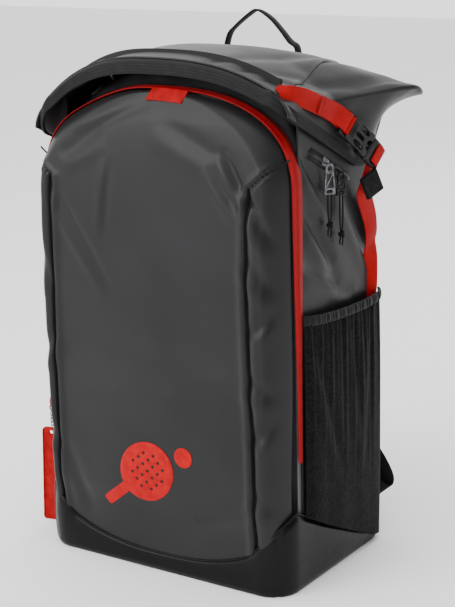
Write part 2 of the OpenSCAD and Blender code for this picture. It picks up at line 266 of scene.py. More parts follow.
SKIN = coated("coated_fabric", (0.0085, 0.0085, 0.0093), (0.014, 0.014, 0.0153), 0.34, 0.46)
# the flap is the body's coated fabric drawn lighter: painted light, for the light that falls on its roof and
# wings from above
FLAP_LIT = coated("flap_fabric_painted_light", (0.013, 0.013, 0.0135), (0.020, 0.020, 0.021), 0.34, 0.48)
BOOT = coated("boot_fabric", (0.0015, 0.0015, 0.0018), (0.004, 0.004, 0.0044), 0.22, 0.34, specular=0.12)
LINING = coated("lining_fabric", (0.004, 0.004, 0.0045), (0.009, 0.009, 0.010), 0.6, 0.8)
GREY = coated("grey_lining", (0.10, 0.10, 0.105), (0.14, 0.14, 0.145), 0.65, 0.85)
HEM = webbing("hem_fabric", (0.005, 0.005, 0.0055), (0.013, 0.013, 0.014), 0.0011, 0.00015, 0.5)
BLACK_WEB = webbing("black_webbing", (0.003, 0.003, 0.0035), (0.010, 0.010, 0.011))
RED_WEB = webbing("red_webbing", (0.24, 0.0005, 0.001), (0.50, 0.002, 0.003), 0.0016, 0.0003, 0.6)
RED_TAPE = webbing("red_tape", (0.22, 0.002, 0.004), (0.42, 0.004, 0.007), 0.0010, 0.00015, 0.55)
NET = net("pocket_mesh", (0.0015, 0.0015, 0.002), (0.008, 0.008, 0.009))
SPACER = net("spacer_mesh", (0.003, 0.003, 0.0035), (0.014, 0.014, 0.015), 300.0, 0.0007)
PLASTIC = moulded("black_plastic", (0.006, 0.006, 0.007), (0.012, 0.012, 0.013))
BUCKLE = moulded("buckle_plastic", (0.008, 0.008, 0.009), (0.016, 0.016, 0.018), 0.32)
ZINC = moulded("zinc", (0.075, 0.075, 0.08), (0.2, 0.2, 0.21), 0.3, 1.0)
DARK_ZINC = moulded("dark_zinc", (0.012, 0.012, 0.014), (0.03, 0.03, 0.033), 0.3, 1.0)
BOARD = moulded("board", (0.28, 0.28, 0.28), (0.36, 0.36, 0.36), 0.55)
PRINT = moulded("red_print", (0.34, 0.002, 0.004), (0.44, 0.004, 0.006), 0.42, specular=0.08)
RUBBER = moulded("red_rubber", (0.26, 0.001, 0.002), (0.38, 0.003, 0.005), 0.48, specular=0.07)
THREAD = moulded("black_thread", (0.012, 0.012, 0.013), (0.05, 0.05, 0.053), 0.6)
RED_THREAD = moulded("red_thread", (0.30, 0.004, 0.008), (0.55, 0.010, 0.016), 0.6)


# ---------------------------------------------------------------- mesh helpers
def smooth(t):
    """0 below 0, 1 above 1, with an eased step between."""
    t = np.clip(t, 0, 1)
    return t * t * (3 - 2 * t)


def bell(d, width):
    """1 at d = 0, falling away over width."""
    return np.exp(-((d / width) ** 2))


def unit(v):
    """Each row of v at length 1."""
    return v / np.linalg.norm(v, axis=1, keepdims=True)


def run_along(path):
    """How far along the path each of its points lies."""
    return np.concatenate([[0], np.cumsum(np.linalg.norm(np.diff(path, axis=0), axis=1))])


def outward(line):
    """Level directions to the left of a line that runs in plan, one per point."""
    along = np.gradient(line, axis=0)
    return unit(np.stack([along[:, 1], -along[:, 0], np.zeros(len(line))], 1))


def box_mm(node):
    """The low and high corners of a CAD node's box, in millimetres."""
    return [np.array(corner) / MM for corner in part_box(node)]


def sided(v, side):
    """Points or directions of the right side, mirrored to the left where side is -1."""
    return np.asarray(v, float) * [side, 1, 1]


def dress(piece, slot, *replaced):
    """Hide the CAD nodes that a piece takes the place of; the slot argument is not used."""
    if replaced:
        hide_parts(*replaced)
    return piece


def shade_smooth(mesh):
    """Shade every face smooth."""
    mesh.polygons.foreach_set("use_smooth", [True] * len(mesh.polygons))


def cleaned(mesh, merge=0.0, fill=False):
    """Merge points closer than merge metres, close holes if asked, and turn every face outwards."""
    bm = bmesh.new()
    bm.from_mesh(mesh)
    if merge:
        bmesh.ops.remove_doubles(bm, verts=bm.verts, dist=merge)
    if fill:
        bmesh.ops.holes_fill(bm, edges=bm.edges)
    bmesh.ops.recalc_face_normals(bm, faces=bm.faces)
    bm.to_mesh(mesh)
    bm.free()


def hoop_faces(count, sides, closed=False):
    """Faces of a run of hoops of points, capped at both ends unless it closes on itself."""
    faces = [(i * sides + j, i * sides + (j + 1) % sides, (i + 1) % count * sides + (j + 1) % sides,
              (i + 1) % count * sides + j)
             for i in range(count if closed else count - 1) for j in range(sides)]
    if not closed:
        faces += [tuple(range(sides)), tuple((count - 1) * sides + j for j in reversed(range(sides)))]
    return faces


def new_object(name, points, faces, material, uv=None):
    """A smooth mesh object: points in millimetres, uv one pair per point, in metres."""
    mesh = bpy.data.meshes.new(name)
    mesh.from_pydata((np.asarray(points, float) * MM).tolist(), [], faces)
    mesh.validate()
    if uv is not None:
        layer = mesh.uv_layers.new(name="UVMap")
        flat = np.empty(len(mesh.loops), int)
        mesh.loops.foreach_get("vertex_index", flat)
        layer.data.foreach_set("uv", np.asarray(uv, float)[flat].ravel())
    mesh.materials.append(material)
    shade_smooth(mesh)
    obj = bpy.data.objects.new(name, mesh)
    bpy.context.scene.collection.objects.link(obj)
    cleaned(mesh)
    return obj


def grid_normals(p, closed=False):
    """Unit normals of a grid of points, whose rows close on each other if asked."""
    if closed:
        along = np.roll(p, -1, 0) - np.roll(p, 1, 0)
    else:
        along = np.gradient(p, axis=0)
    across = np.gradient(p, axis=1)
    n = np.cross(across, along)
    return n / np.maximum(np.linalg.norm(n, axis=2, keepdims=True), 1e-9)


def shell(name, p, material, body=None, thick=1.2, flip=False, closed=False):
    """A closed sheet of even thickness from a grid of points, laid to the inner side."""
    rows, cols = p.shape[:2]
    n = grid_normals(p, closed) * (-1 if flip else 1)
    inner = p - n * thick
    points = np.concatenate([p.reshape(-1, 3), inner.reshape(-1, 3)])
    across = np.concatenate([np.zeros((rows, 1)), np.cumsum(np.linalg.norm(np.diff(p, axis=1), axis=2), 1)],
                            1)
    along = np.concatenate([np.zeros((1, cols)), np.cumsum(np.linalg.norm(np.diff(p, axis=0), axis=2), 0)],
                           0)
    uv = np.stack([across, along], -1).reshape(-1, 2) * MM
    uv = np.concatenate([uv, uv])
    half = rows * cols
    faces = []
    last = rows if closed else rows - 1
    for r in range(last):
        s = (r + 1) % rows
        for c in range(cols - 1):
            a, b, d, e = r * cols + c, r * cols + c + 1, s * cols + c + 1, s * cols + c
            faces.append((a, b, d, e))
            faces.append((half + a, half + e, half + d, half + b))
        for c in (0, cols - 1):
            a, e = r * cols + c, s * cols + c
            faces.append((a, e, half + e, half + a))
    if not closed:
        for c in range(cols - 1):
            for r in (0, rows - 1):
                a, b = r * cols + c, r * cols + c + 1
                faces.append((a, half + a, half + b, b))
    obj = new_object(name, points, faces, material, uv)
    if body:
        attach(obj, body)
    return obj


def resample(path, count):
    """The same line with count evenly spaced points."""
    path = np.asarray(path, float)
    run = run_along(path)
    at = np.linspace(0, run[-1], count)
    return np.stack([np.interp(at, run, path[:, k]) for k in range(3)], 1)


def curve_through(points, count, closed=False):
    """A smooth line through given points, evenly spaced."""
    p = np.asarray(points, float)
    ends = (p[-1], p[0], p[1]) if closed else (2 * p[0] - p[1], 2 * p[-1] - p[-2], None)
    q = np.vstack([ends[0], p, ends[1], ends[2]]) if closed else np.vstack([ends[0], p, ends[1]])
    out = []
    for i in range(1, len(q) - 2):
        for t in np.linspace(0, 1, 14, endpoint=False):
            a, b, c, d = q[i - 1], q[i], q[i + 1], q[i + 2]
            out.append(0.5 * (2 * b + (c - a) * t + (2 * a - 5 * b + 4 * c - d) * t**2
                              + (3 * b - a - 3 * c + d) * t**3))
    out.append(q[-2])
    return resample(out, count)


def ribbon(name, path, side, width, thick, material, body=None, count=None):
    """A flat band that follows a line: side gives its width direction, one vector or one per point."""
    path = np.asarray(path, float) if count is None else resample(path, count)
    side = np.asarray(side, float)
    if side.ndim == 1:
        side = np.repeat(side[None], len(path), 0)
    elif len(side) != len(path):
        side = np.stack([np.interp(np.linspace(0, 1, len(path)), np.linspace(0, 1, len(side)), side[:, k])
                         for k in range(3)], 1)
    side = unit(side)
    out = unit(np.cross(side, unit(np.gradient(path, axis=0))))
    width = np.broadcast_to(np.asarray(width, float), (len(path),))[:, None]
    # the rim is rounded by a ring of eight points
    ring = [(-1, 0.35), (-0.97, 0.5), (0.97, 0.5), (1, 0.35), (1, -0.35), (0.97, -0.5), (-0.97, -0.5),
            (-1, -0.35)]
    p = np.stack([path + side * width / 2 * a + out * thick * b for a, b in ring], 1)
    count, m = len(path), len(ring)
    uv = np.stack([np.stack([np.full(m, r), (np.array([a for a, _ in ring]) + 1) * 0.5 * width[i]], 1)
                   for i, r in enumerate(run_along(path))]).reshape(-1, 2)[:, ::-1] * MM
    obj = new_object(name, p.reshape(-1, 3), hoop_faces(count, m), material, uv)
    if body:
        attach(obj, body)
    return obj


def tube(name, path, radius, material, body=None, sides=8, closed=False):
    """A round cord along a line."""
    path = np.asarray(path, float)
    if closed:
        along = np.roll(path, -1, 0) - np.roll(path, 1, 0)
    else:
        along = np.gradient(path, axis=0)
    along = unit(along)
    ref = np.array([0.31, 0.17, 0.93])       # a direction that no cord here runs in
    u = unit(np.cross(along, ref / np.linalg.norm(ref)))
    v = np.cross(along, u)
    a = np.linspace(0, 2 * math.pi, sides, endpoint=False)
    p = path[:, None] + radius * (u[:, None] * np.cos(a)[None, :, None] + v[:, None] * np.sin(a)[None, :,
            None])
    obj = new_object(name, p.reshape(-1, 3), hoop_faces(len(path), sides, closed), material)
    if body:
        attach(obj, body)
    return obj


def stitches(name, path, normal, material, body=None, pitch=3.4, length=2.3, radius=0.32):
    """A run of short thread stitches along a line, standing slightly proud of it."""
    path = np.asarray(path, float)
    run = run_along(path)
    normal = np.asarray(normal, float)
    if normal.ndim == 1:
        normal = np.repeat(normal[None], len(path), 0)
    count = max(2, int(run[-1] / pitch))
    points, faces = [], []
    for i in range(count):
        at = np.array([i * pitch, i * pitch + length * 0.5, i * pitch + length])
        centre = np.stack([np.interp(at, run, path[:, k]) for k in range(3)], 1)
        lift = np.stack([np.interp(at, run, normal[:, k]) for k in range(3)], 1)
        centre += lift * radius * np.array([0.1, 0.9, 0.1])[:, None]
        along = centre[2] - centre[0]
        if np.linalg.norm(along) < 0.2:
            continue
        along /= np.linalg.norm(along)
        side = np.cross(along, lift[1])
        side /= max(np.linalg.norm(side), 1e-9)
        base = len(points)
        for k, scale in enumerate((0.5, 1.0, 0.5)):
            for a, b in ((1, 0), (0, 1), (-1, 0), (0, -1)):
                points.append(centre[k] + (side * a + lift[1] * b) * radius * scale)
        for k in range(2):
            for j in range(4):
                faces.append((base + k * 4 + j, base + k * 4 + (j + 1) % 4,
                              base + (k + 1) * 4 + (j + 1) % 4, base + (k + 1) * 4 + j))
        faces += [(base, base + 1, base + 2, base + 3), (base + 11, base + 10, base + 9, base + 8)]
    obj = new_object(name, points, faces, material)
    if body:
        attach(obj, body)
    return obj


def waves(x, y, seed, scale, count=7):
    """Gentle random undulation, the same each run."""
    r = np.random.default_rng(seed)
    total = np.zeros_like(x, dtype=float)
    for _ in range(count):
        angle, phase, size = r.uniform(0, math.pi), r.uniform(0, 6.28), r.uniform(0.6, 1.8)
        total += np.sin((x * math.cos(angle) + y * math.sin(angle)) / (scale * size) + phase)
    return total / count


def crease(x, z, a, b, depth, width):
    """A soft fold line from a to b in the (x, z) plane, fading towards its ends."""
    a, b = np.array(a, float), np.array(b, float)
    d = b - a
    length = np.linalg.norm(d)
    t = ((x - a[0]) * d[0] + (z - a[1]) * d[1]) / length**2
    off = ((x - a[0]) * d[1] - (z - a[1]) * d[0]) / length
    fade = np.where((t > -0.2) & (t < 1.2), np.sin(math.pi * np.clip((t + 0.2) / 1.4, 0, 1)) ** 0.7, 0)
    fold = -bell(off, width) + 0.75 * bell(off - width * 1.9, width * 1.2)
    return depth * fade * fold


def creases(x, z, folds):
    """All the fold lines of a table together."""
    return sum(crease(x, z, *fold) for fold in folds)


# ---------------------------------------------------------------- the bag's own proportions
tray_low, tray_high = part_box("front_panel")
HALF = tray_high[0] / MM                  # half width of the bag, 152
ARCH_TOP = tray_high[2] / MM              # 510
ZIP_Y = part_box("zip_tape_fixed")[0][1] / MM - 0.2   # -70
SPRING = 415.0
POWER = 2.5
BACK_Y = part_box("back_panel")[1][1] / MM  # 100


def arch_half(z):
    """Half width of the front tray at height z."""
    t = np.clip((z - SPRING) / (ARCH_TOP - SPRING), 0, 0.9999)
    return HALF * (1 - t**POWER) ** (1 / POWER)


def arch_line(grow=0.0, foot=140.0, count=220):
    """(x, z) along the arch from the left foot over the top to the right foot."""
    a = np.linspace(0, 90, 60)
    x = HALF * np.cos(np.radians(a)) ** (2 / POWER)
    z = SPRING + (ARCH_TOP - SPRING) * np.sin(np.radians(a)) ** (2 / POWER)
    right = np.stack([np.concatenate([[HALF], x]), np.concatenate([[foot], z])], 1)
    line = np.concatenate([right * [-1, 1], right[::-1][1:]])
    line = np.column_stack([line[:, 0], np.zeros(len(line)), line[:, 1]])
    line = resample(line, count)
    along = np.gradient(line, axis=0)
    out = unit(np.stack([-along[:, 2], np.zeros(count), along[:, 0]], 1))
    return line + out * grow, out


# ---------------------------------------------------------------- front tray
SEAM_RIGHT, SEAM_LEFT, SEAM_TOP = 121.0, -128.0, 424.0
FRONT_FOLDS = [  # from and to in (x, z), depth, width
    ((-124, 410), (-60, 322), 2.0, 6), ((-50, 432), (-54, 372), 1.5, 5),
    ((92, 452), (119, 412), 3.2, 5), ((80, 436), (114, 398), 2.6, 6),
    ((122, 412), (148, 366), 4.0, 6), ((124, 352), (149, 318), 3.2, 7),
    ((123, 280), (148, 302), 3.0, 7), ((124, 232), (149, 213), 3.2, 8),
    ((123, 168), (149, 190), 3.2, 8), ((124, 110), (149, 92), 2.6, 8),
    ((-147, 352), (-130, 300), 3.0, 7), ((-148, 215), (-131, 244), 3.0, 7),
    ((-147, 150), (-131, 120), 2.6, 7), ((60, 70), (118, 86), 2.0, 8),
    ((-118, 120), (-92, 60), 1.8, 8), ((-20, 492), (-88, 470), 1.6, 6),
    ((20, 478), (96, 446), 1.8, 9), ((-110, 452), (-70, 470), 1.8, 8),
    ((-60, 250), (70, 236), 1.0, 12), ((-90, 190), (10, 206), 0.9, 10),
]


def front_out(z):
    """How far the front stands out from the zip band, at its middle."""
    t = np.clip((z - 290) / (ARCH_TOP - 290), 0, 1)
    return 4 + 27 * (1 - t**2.6) ** 0.7


def seam_run(seam, z):
    """How far a gusset seam stands from the middle: it turns out towards the zip above SEAM_TOP."""
    return seam + np.clip(z - SEAM_TOP, 0, 60) * 1.15 + 2.0 * np.sin(z / 70)


def seam_depth(x, z):
    """Grooves where the gussets are sewn to the front panel, turning out to the zip at the top."""
    total = 0
    for side, seam in ((1, SEAM_RIGHT), (-1, -SEAM_LEFT)):
        d = (x - side * seam_run(seam, z)) * side
        fade = np.where(z < SEAM_TOP + 34, 1.0, 0.0)
        total += fade * (-5.2 * bell(d, 1.7) + 2.0 * bell(d + 6, 4.5) + 2.2 * bell(d - 8, 6))
    return total


def front_y(x, z):
    """The front panel and its gussets as one soft surface."""
    half = arch_half(z)
    d = half - np.abs(x)
    wide = 17 + 14 * smooth((z - 425) / 60)
    ramp = np.sin(np.radians(90 * np.clip(d / wide, 0, 1))) ** 0.8
    out = 1.5 + front_out(z) * ramp
    out = out - 3.5 * smooth((90 - z) / 30)
    belly = 2.5 * np.cos(np.clip(x / 125, -1, 1) * math.pi / 2) * smooth((z - 30) / 120) * smooth((470
            - z) / 150)
    inner = smooth(d / 14)
    out += belly + (seam_depth(x, z) + 1.4 * waves(x, z, 3, 34)) * inner
    folds = creases(x, z, FRONT_FOLDS)
    return ZIP_Y - 8 - (out + folds * inner) * (1 - 0.22 * smooth((z - 480) / 30))


def door_fold(piece):
    """Bake a piece's transform into its mesh."""
    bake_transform(piece)


def build_front():
    """The front skin with the piping and stitching of its two gusset seams; the dark piping is also a
    painted shadow line in each groove.
    """
    u = np.linspace(-1, 1, 300)
    u = np.sign(u) * (1 - (1 - np.abs(u)) ** 1.5)
    a = np.linspace(0, 88.5, 60)
    z = np.concatenate([np.linspace(6, SPRING - 2, 230),
                        SPRING + (ARCH_TOP - SPRING) * np.sin(np.radians(a)) ** (2 / POWER)])
    zz, uu = np.meshgrid(z, u, indexing="ij")
    x = uu * arch_half(zz)
    x = x * (1 - np.where(x < 0, 0.030, 0.006) * smooth((230 - zz) / 130))
    p = np.stack([x, front_y(x, zz), zz], -1)
    skin = shell("front_skin", p, SKIN, None, 1.6)
    door_fold(dress(skin, "coated_fabric", "front_panel", "front_lower_panel"))
    for side, seam, label in ((1, SEAM_RIGHT, "right"), (-1, -SEAM_LEFT, "left")):
        zs = np.linspace(46, SEAM_TOP + 27, 300)
        xs = side * seam_run(seam, zs)
        # the piping cord in the dark lining colour: real piping, and also a painted shadow line along the
        # groove
        cord = tube(f"front_piping_shadow_line_{label}", np.stack([xs, front_y(xs, zs) - 0.2, zs], 1), 1.0, LINING)
        door_fold(dress(cord, "coated_fabric"))
        zs = np.linspace(52, SEAM_TOP + 24, 260)
        xs = side * (seam_run(seam, zs) - 4.2)
        line = np.stack([xs, front_y(xs, zs) - 0.25, zs], 1)
        door_fold(dress(stitches(f"front_stitch_{label}", line, (0, -1, 0), THREAD, None, 3.6, 2.4, 0.26),
                        "coated_fabric"))


# ---------------------------------------------------------------- zip band round the arch
def band_half_width(line):
    """The band is wide over the top and narrows towards its ends."""
    low = smooth((line[:, 2] - 140) / 290)
    return 3.4 + 5.6 * low


def build_zip_band():
    """The two halves of the zip tape, meeting round the arch."""
    line, out = arch_line(1.8, 139, 320)
    half = band_half_width(line)
    crown = [(-1.0, 0.0), (-0.72, 0.5), (-0.22, 0.6), (-0.1, 1.5), (0.0, 1.7)]
    for name, way, node, body in (("zip_band_door", -1, "zip_tape_door", "racket_door"),
                                  ("zip_band_bag", 1, "zip_tape_fixed", "bag")):
        rows = []
        for a, lift in crown:
            q = line + out * lift
            q[:, 1] = ZIP_Y + way * (half * -a + 0.06)
            rows.append(q)
        p = np.stack(rows, 1)
        piece = shell(name, p, RED_TAPE, body, 0.9, flip=way > 0)
        dress(piece, "red_webbing", node)
        edge = line + out * 0.75
        edge[:, 1] = ZIP_Y + way * half * 0.62
        stitches(name + "_stitch", edge, out, RED_THREAD, body, 3.0, 2.1, 0.25)


# ---------------------------------------------------------------- body shell behind the zip
SIDE_FOLDS = [  # from and to in (y, z), depth, width
    ((-60, 452), (-14, 396), 3.6, 6), ((-58, 396), (-8, 344), 3.4, 7),
    ((20, 400), (74, 326), 3.0, 8), ((-50, 338), (24, 303), 3.2, 7),
    ((60, 392), (92, 340), 2.6, 6), ((-34, 372), (4, 318), 2.6, 8),
    ((-52, 150), (10, 95), 1.8, 9), ((30, 210), (88, 150), 1.8, 9),
]


def side_x(y, z):
    """The side of the main compartment, with soft sag and folds."""
    t = (y - 15) / 90
    out = 3.2 * np.clip(1 - t**2, 0, 1) * smooth((z - 10) / 60) * smooth((500 - z) / 120)
    folds = creases(y, z, SIDE_FOLDS)
    return HALF + out + folds * smooth((y + 66) / 14) * smooth((98 - y) / 14) + 0.6 * waves(y, z, 11, 26)


def build_body():
    """The sides of the main compartment, turning round the back corners."""
    corner = 24.0
    for side, label in SIDES:
        y = np.linspace(ZIP_Y + 5.5, BACK_Y - corner, 70)
        z = np.linspace(5, 488, 170)
        zz, yy = np.meshgrid(z, y, indexing="ij")
        flat = np.stack([side_x(yy, zz), yy, zz], -1)
        a = np.linspace(0, 90, 14)[1:]
        turn = []
        for deg in a:
            r = math.radians(deg)
            base = side_x(np.full_like(z, BACK_Y - corner), z)
            turn.append(np.stack([base - corner * (1 - math.cos(r)),
                                  np.full_like(z, BACK_Y - corner + corner * math.sin(r)), z], -1))
        inward = [turn[-1] + np.array([-k, 0, 0]) for k in (6.0, 12.0)]
        p = np.concatenate([flat, np.stack(turn + inward, 1)], 1)
        p[..., 0] *= side
        piece = shell(f"side_skin_{label}", p, SKIN, "bag", 1.4, flip=side < 0)
        dress(piece, "coated_fabric", f"side_panel_{label}")


def boot_outline(count=260):
    """Plan of the boot from the back left corner round the front to the back right, with outward normals."""
    low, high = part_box("base_boot")
    x1, y0, y1, r = high[0] / MM - 1.0, low[1] / MM + 0.6, BACK_Y + 2, 30.0
    a = np.radians(np.linspace(0, 90, 24))
    back = [(x1 - 22 + 22 * math.cos(t), y1 - 22 + 22 * math.sin(t)) for t in a]
    pts = [(-130, y1), *[(-x, y) for x, y in back[::-1]], (-x1, y0 + r)]
    pts += [(-x1 + r * (1 - math.cos(t)), y0 + r * (1 - math.sin(t))) for t in a]
    pts += [(x1 - r * (1 - math.sin(t)), y0 + r * (1 - math.cos(t))) for t in a]
    pts += [(x1, y0 + r), *back, (130, y1)]
    line = resample(np.array([(x, y, 0) for x, y in pts]), count)
    return line, outward(line)


def boot_top(line):
    """Height of the boot's top seam: low in front, high at the corners, running out towards the back."""
    x, y = np.abs(line[:, 0]), line[:, 1]
    front = 20 + 27 * np.clip(x / 126, 0, 1) ** 2.6
    corner = smooth((x - 112) / 44)
    side = np.interp(y, [-106, -80, -29, 24, 68, 112], [74, 87, 60, 34, 13, 5])
    return front * (1 - corner) + side * corner


def build_boot():
    """The boot round the base, with its piping, stitching and turned-under edge."""
    line, out = boot_outline()
    top = boot_top(line)
    t = np.linspace(0, 1, 34)
    rows = []
    for v in t:
        z = 0.3 + (top - 0.3) * v
        tuck = 2.6 * (1 - np.clip(z / 7, 0, 1)) ** 2
        swell = 1.6 * np.sin(math.pi * v) * smooth(top / 40)
        crimp = -2.2 * smooth((v - 0.9) / 0.1)
        p = line + out * (swell - tuck + crimp)[:, None]
        run = np.arange(len(line)) * 3.1
        p = p + out * (0.9 * waves(run, z, 21, 13) * math.sin(math.pi * v))[:, None]
        p[:, 2] = z
        rows.append(p)
    grid = np.stack(rows, 1)
    # a dark vertical tuck where the front meets each side
    for side in (-1, 1):
        d = (grid[..., 0] - side * 143) * side + (grid[..., 1] + 100)
        grid -= (out[:, None] * (1.8 * bell(d, 2.6))[..., None])
    piece = shell("boot_skin", grid, BOOT, "bag", 1.4, flip=False)
    dress(piece, "boot_fabric", "base_boot")
    rim = line + out * -0.4
    rim[:, 2] = top + 0.6
    cord = tube("boot_piping", rim[rim[:, 1] < 66], 1.15, BOOT, "bag")
    seam = line + out * 0.2
    seam[:, 2] = top - 4.5
    stitches("boot_stitch", seam, out, THREAD, "bag", 3.6, 2.4, 0.26)
    # the turned-under underside
    cap = np.stack([line + out * -2.6 * np.array([1, 1, 0]), line * np.array([0.86, 0.86, 0])], 1)
    cap[:, 0, 2], cap[:, 1, 2] = 0.5, 0.4
    under = shell("boot_turning", cap, BOOT, "bag", 0.35, flip=True)


# ---------------------------------------------------------------- flap
FLAP_FRONT = -89.0


def along_flap(y, pairs):
    """A measure given at some depths of the flap, interpolated and softened."""
    xs = np.array([a for a, _ in pairs], float)
    ys = np.array([b for _, b in pairs], float)
    raw = np.interp(y, xs, ys)
    return 0.25 * np.interp(y - 5, xs, ys) + 0.5 * raw + 0.25 * np.interp(y + 5, xs, ys)


def flap_half(y):
    """Half width of the roof at depth y."""
    return along_flap(y, [(-90, 149), (-40, 151), (0, 156), (30, 173), (54, 195), (76, 207), (90, 207),
                          (100, 202)])


def flap_edge(y):
    """Height of the roof's side edge at depth y."""
    return along_flap(y, [(-90, 507), (-40, 501), (0, 497), (30, 500), (60, 505), (80, 505), (100, 496)])


def flap_crest(y):
    """Height of the middle of the roof at depth y."""
    return along_flap(y, [(-90, 539), (-60, 543), (0, 543), (30, 541), (60, 534), (80, 526.5), (100, 517)])


def flap_hem(y):
    """Height of the skirt's lower edge at depth y."""
    return along_flap(y, [(-90, 494), (-12, 454), (44, 426), (62, 424), (80, 446), (100, 476)])


def left_sag(x, y):
    """The left of the flap hangs lower than the right."""
    return -26 * np.clip(-x / 150, 0, 1.3) ** 3 * smooth((60 - y) / 120)


def flap_point(c, y):
    """c runs 0 to 1 from the middle of the roof to its edge and 1 to 2 down the skirt, signed by side."""
    side, c = np.sign(c), np.abs(c)
    w, edge = flap_half(y), flap_edge(y)
    roof = np.clip(c, 0, 1)
    x_roof = roof * w
    z_roof = edge + (flap_crest(y) - edge) * (1 - roof**2.6)
    t = np.clip(2 - c, 0, 1)
    low = HALF + 4.0
    hem = flap_hem(y)
    x_skirt = low + (w - low) * t**2.2
    z_skirt = hem + (edge - hem) * t
    k = smooth((c - 0.97) / 0.06)
    x = (x_roof * (1 - k) + x_skirt * k) * np.where(side == 0, 1, side)
    z = z_roof * (1 - k) + z_skirt * k
    z = z + left_sag(x, y)
    return np.stack([x, y + 0 * x, z], -1)


FLAP_FOLDS = [  # from and to in (x, y), depth, width
    ((96, -74), (176, 66), 2.4, 7), ((120, -70), (196, 40), 1.8, 6),
    ((60, -80), (120, 84), 2.0, 9), ((158, 20), (200, 88), 2.0, 6),
]


def flap_folds(x, y):
    """Soft radiating folds over the roof and the wings."""
    lift = 1.5 * waves(x, y, 5, 40) * smooth((np.abs(x) - 10) / 60)
    for side in (-1, 1):
        lift += creases(x * side, y, FLAP_FOLDS)
    return lift


def build_flap():
    """The flap: its roof and skirt, its cover, its hem and the backs of its wings."""
    y = np.concatenate([np.linspace(FLAP_FRONT, 60, 90), np.linspace(62, BACK_Y, 30)])
    c = np.concatenate([-np.linspace(2, 1.06, 34), -np.linspace(1.04, 0.9, 14),
                        np.linspace(-0.88, 0.88, 100), np.linspace(0.9, 1.04, 14),
                        np.linspace(1.06, 2, 34)])
    yy, cc = np.meshgrid(y, c, indexing="ij")
    p = flap_point(cc, yy)
    lift = flap_folds(p[..., 0], yy) * smooth((1.15 - np.abs(cc)) / 0.3) * smooth((yy - FLAP_FRONT) / 12)
    p[..., 2] += lift * smooth((BACK_Y - yy) / 12)
    skirt = smooth((np.abs(cc) - 1.0) / 0.3) * smooth((2 - np.abs(cc)) / 0.25)
    ripple = 1.3 * np.sin((yy + 0.7 * p[..., 2]) / 8.5) * skirt * smooth((yy - 8) / 20)
    p[..., 0] += np.sign(cc) * ripple
    roof = shell("flap_skin", p, FLAP_LIT, "flap", 1.8, flip=True)
    dress(roof, "coated_fabric", "roll_top_cover", "wing_left", "wing_right")
    build_overlay()
    build_hem()
    build_wing_back()


def overlay_edge(y):
    """x of the central cover's side edge: near the corner in front, further in at the back."""
    return np.interp(y, [-90, -50, 40, 100], [143, 134, 117, 112])


def build_overlay():
    """The central cover, a second layer with turned edges lying on the roof."""
    y = np.linspace(FLAP_FRONT + 1, BACK_Y - 1, 110)
    u = np.sin(np.linspace(-1, 1, 120) * math.pi / 2)
    yy, uu = np.meshgrid(y, u, indexing="ij")
    x = uu * overlay_edge(yy)
    p = flap_point(x / flap_half(yy), yy)
    lift = flap_folds(p[..., 0], yy) * smooth((yy - FLAP_FRONT) / 12) * smooth((BACK_Y - yy) / 12)
    p[..., 2] += lift + 0.5 + 2.3 * smooth((1 - np.abs(uu)) / 0.012) + 0.7 * bell(1 - np.abs(uu) - 0.03,
            0.03)
    cover = shell("flap_cover", p, FLAP_LIT, "flap", 2.2, flip=True)
    for side, label in SIDES:
        ys = np.linspace(FLAP_FRONT + 6, BACK_Y - 6, 160)
        xs = side * (overlay_edge(ys) - 6)
        q = flap_point(xs / flap_half(ys), ys)
        q[:, 2] += flap_folds(q[:, 0], ys) * smooth((ys - FLAP_FRONT) / 12) * smooth((BACK_Y
                - ys) / 12) + 3.4
        stitches(f"cover_stitch_{label}", q, (0, 0, 1), THREAD, "flap", 3.6, 2.4, 0.26)


def hem_line(count=340):
    """Upper edge of the hem band, from left round the front to right, with outward normals."""
    half = []
    for y in np.linspace(62, -68, 60):
        half.append((HALF + 4.6, y, float(flap_hem(y)) + 12))
    for a in np.radians(np.linspace(0, 90, 20))[1:]:
        x = HALF - 16 + 20.6 * math.cos(a)
        y = -71 - 20.4 * math.sin(a)
        k = a / (math.pi / 2)
        start = float(flap_hem(-68)) + 12
        end = float(flap_point(np.array(0.88), np.array(FLAP_FRONT))[2]) + 1
        half.append((x, y, start + (end - start) * k))
    for x in np.linspace(HALF - 20, 0, 60):
        z = float(flap_point(np.array(x / 149.0), np.array(FLAP_FRONT))[2])
        half.append((x, -91.4, z + 1))
    half = np.array(half)
    left = half[::-1][1:] * [-1, 1, 1]
    line = np.concatenate([half, left])[::-1]
    line[:, 2] += left_sag(line[:, 0], line[:, 1])
    line = resample(line, count)
    for _ in range(3):
        line[1:-1] = 0.25 * line[:-2] + 0.5 * line[1:-1] + 0.25 * line[2:]
    return line, outward(line)


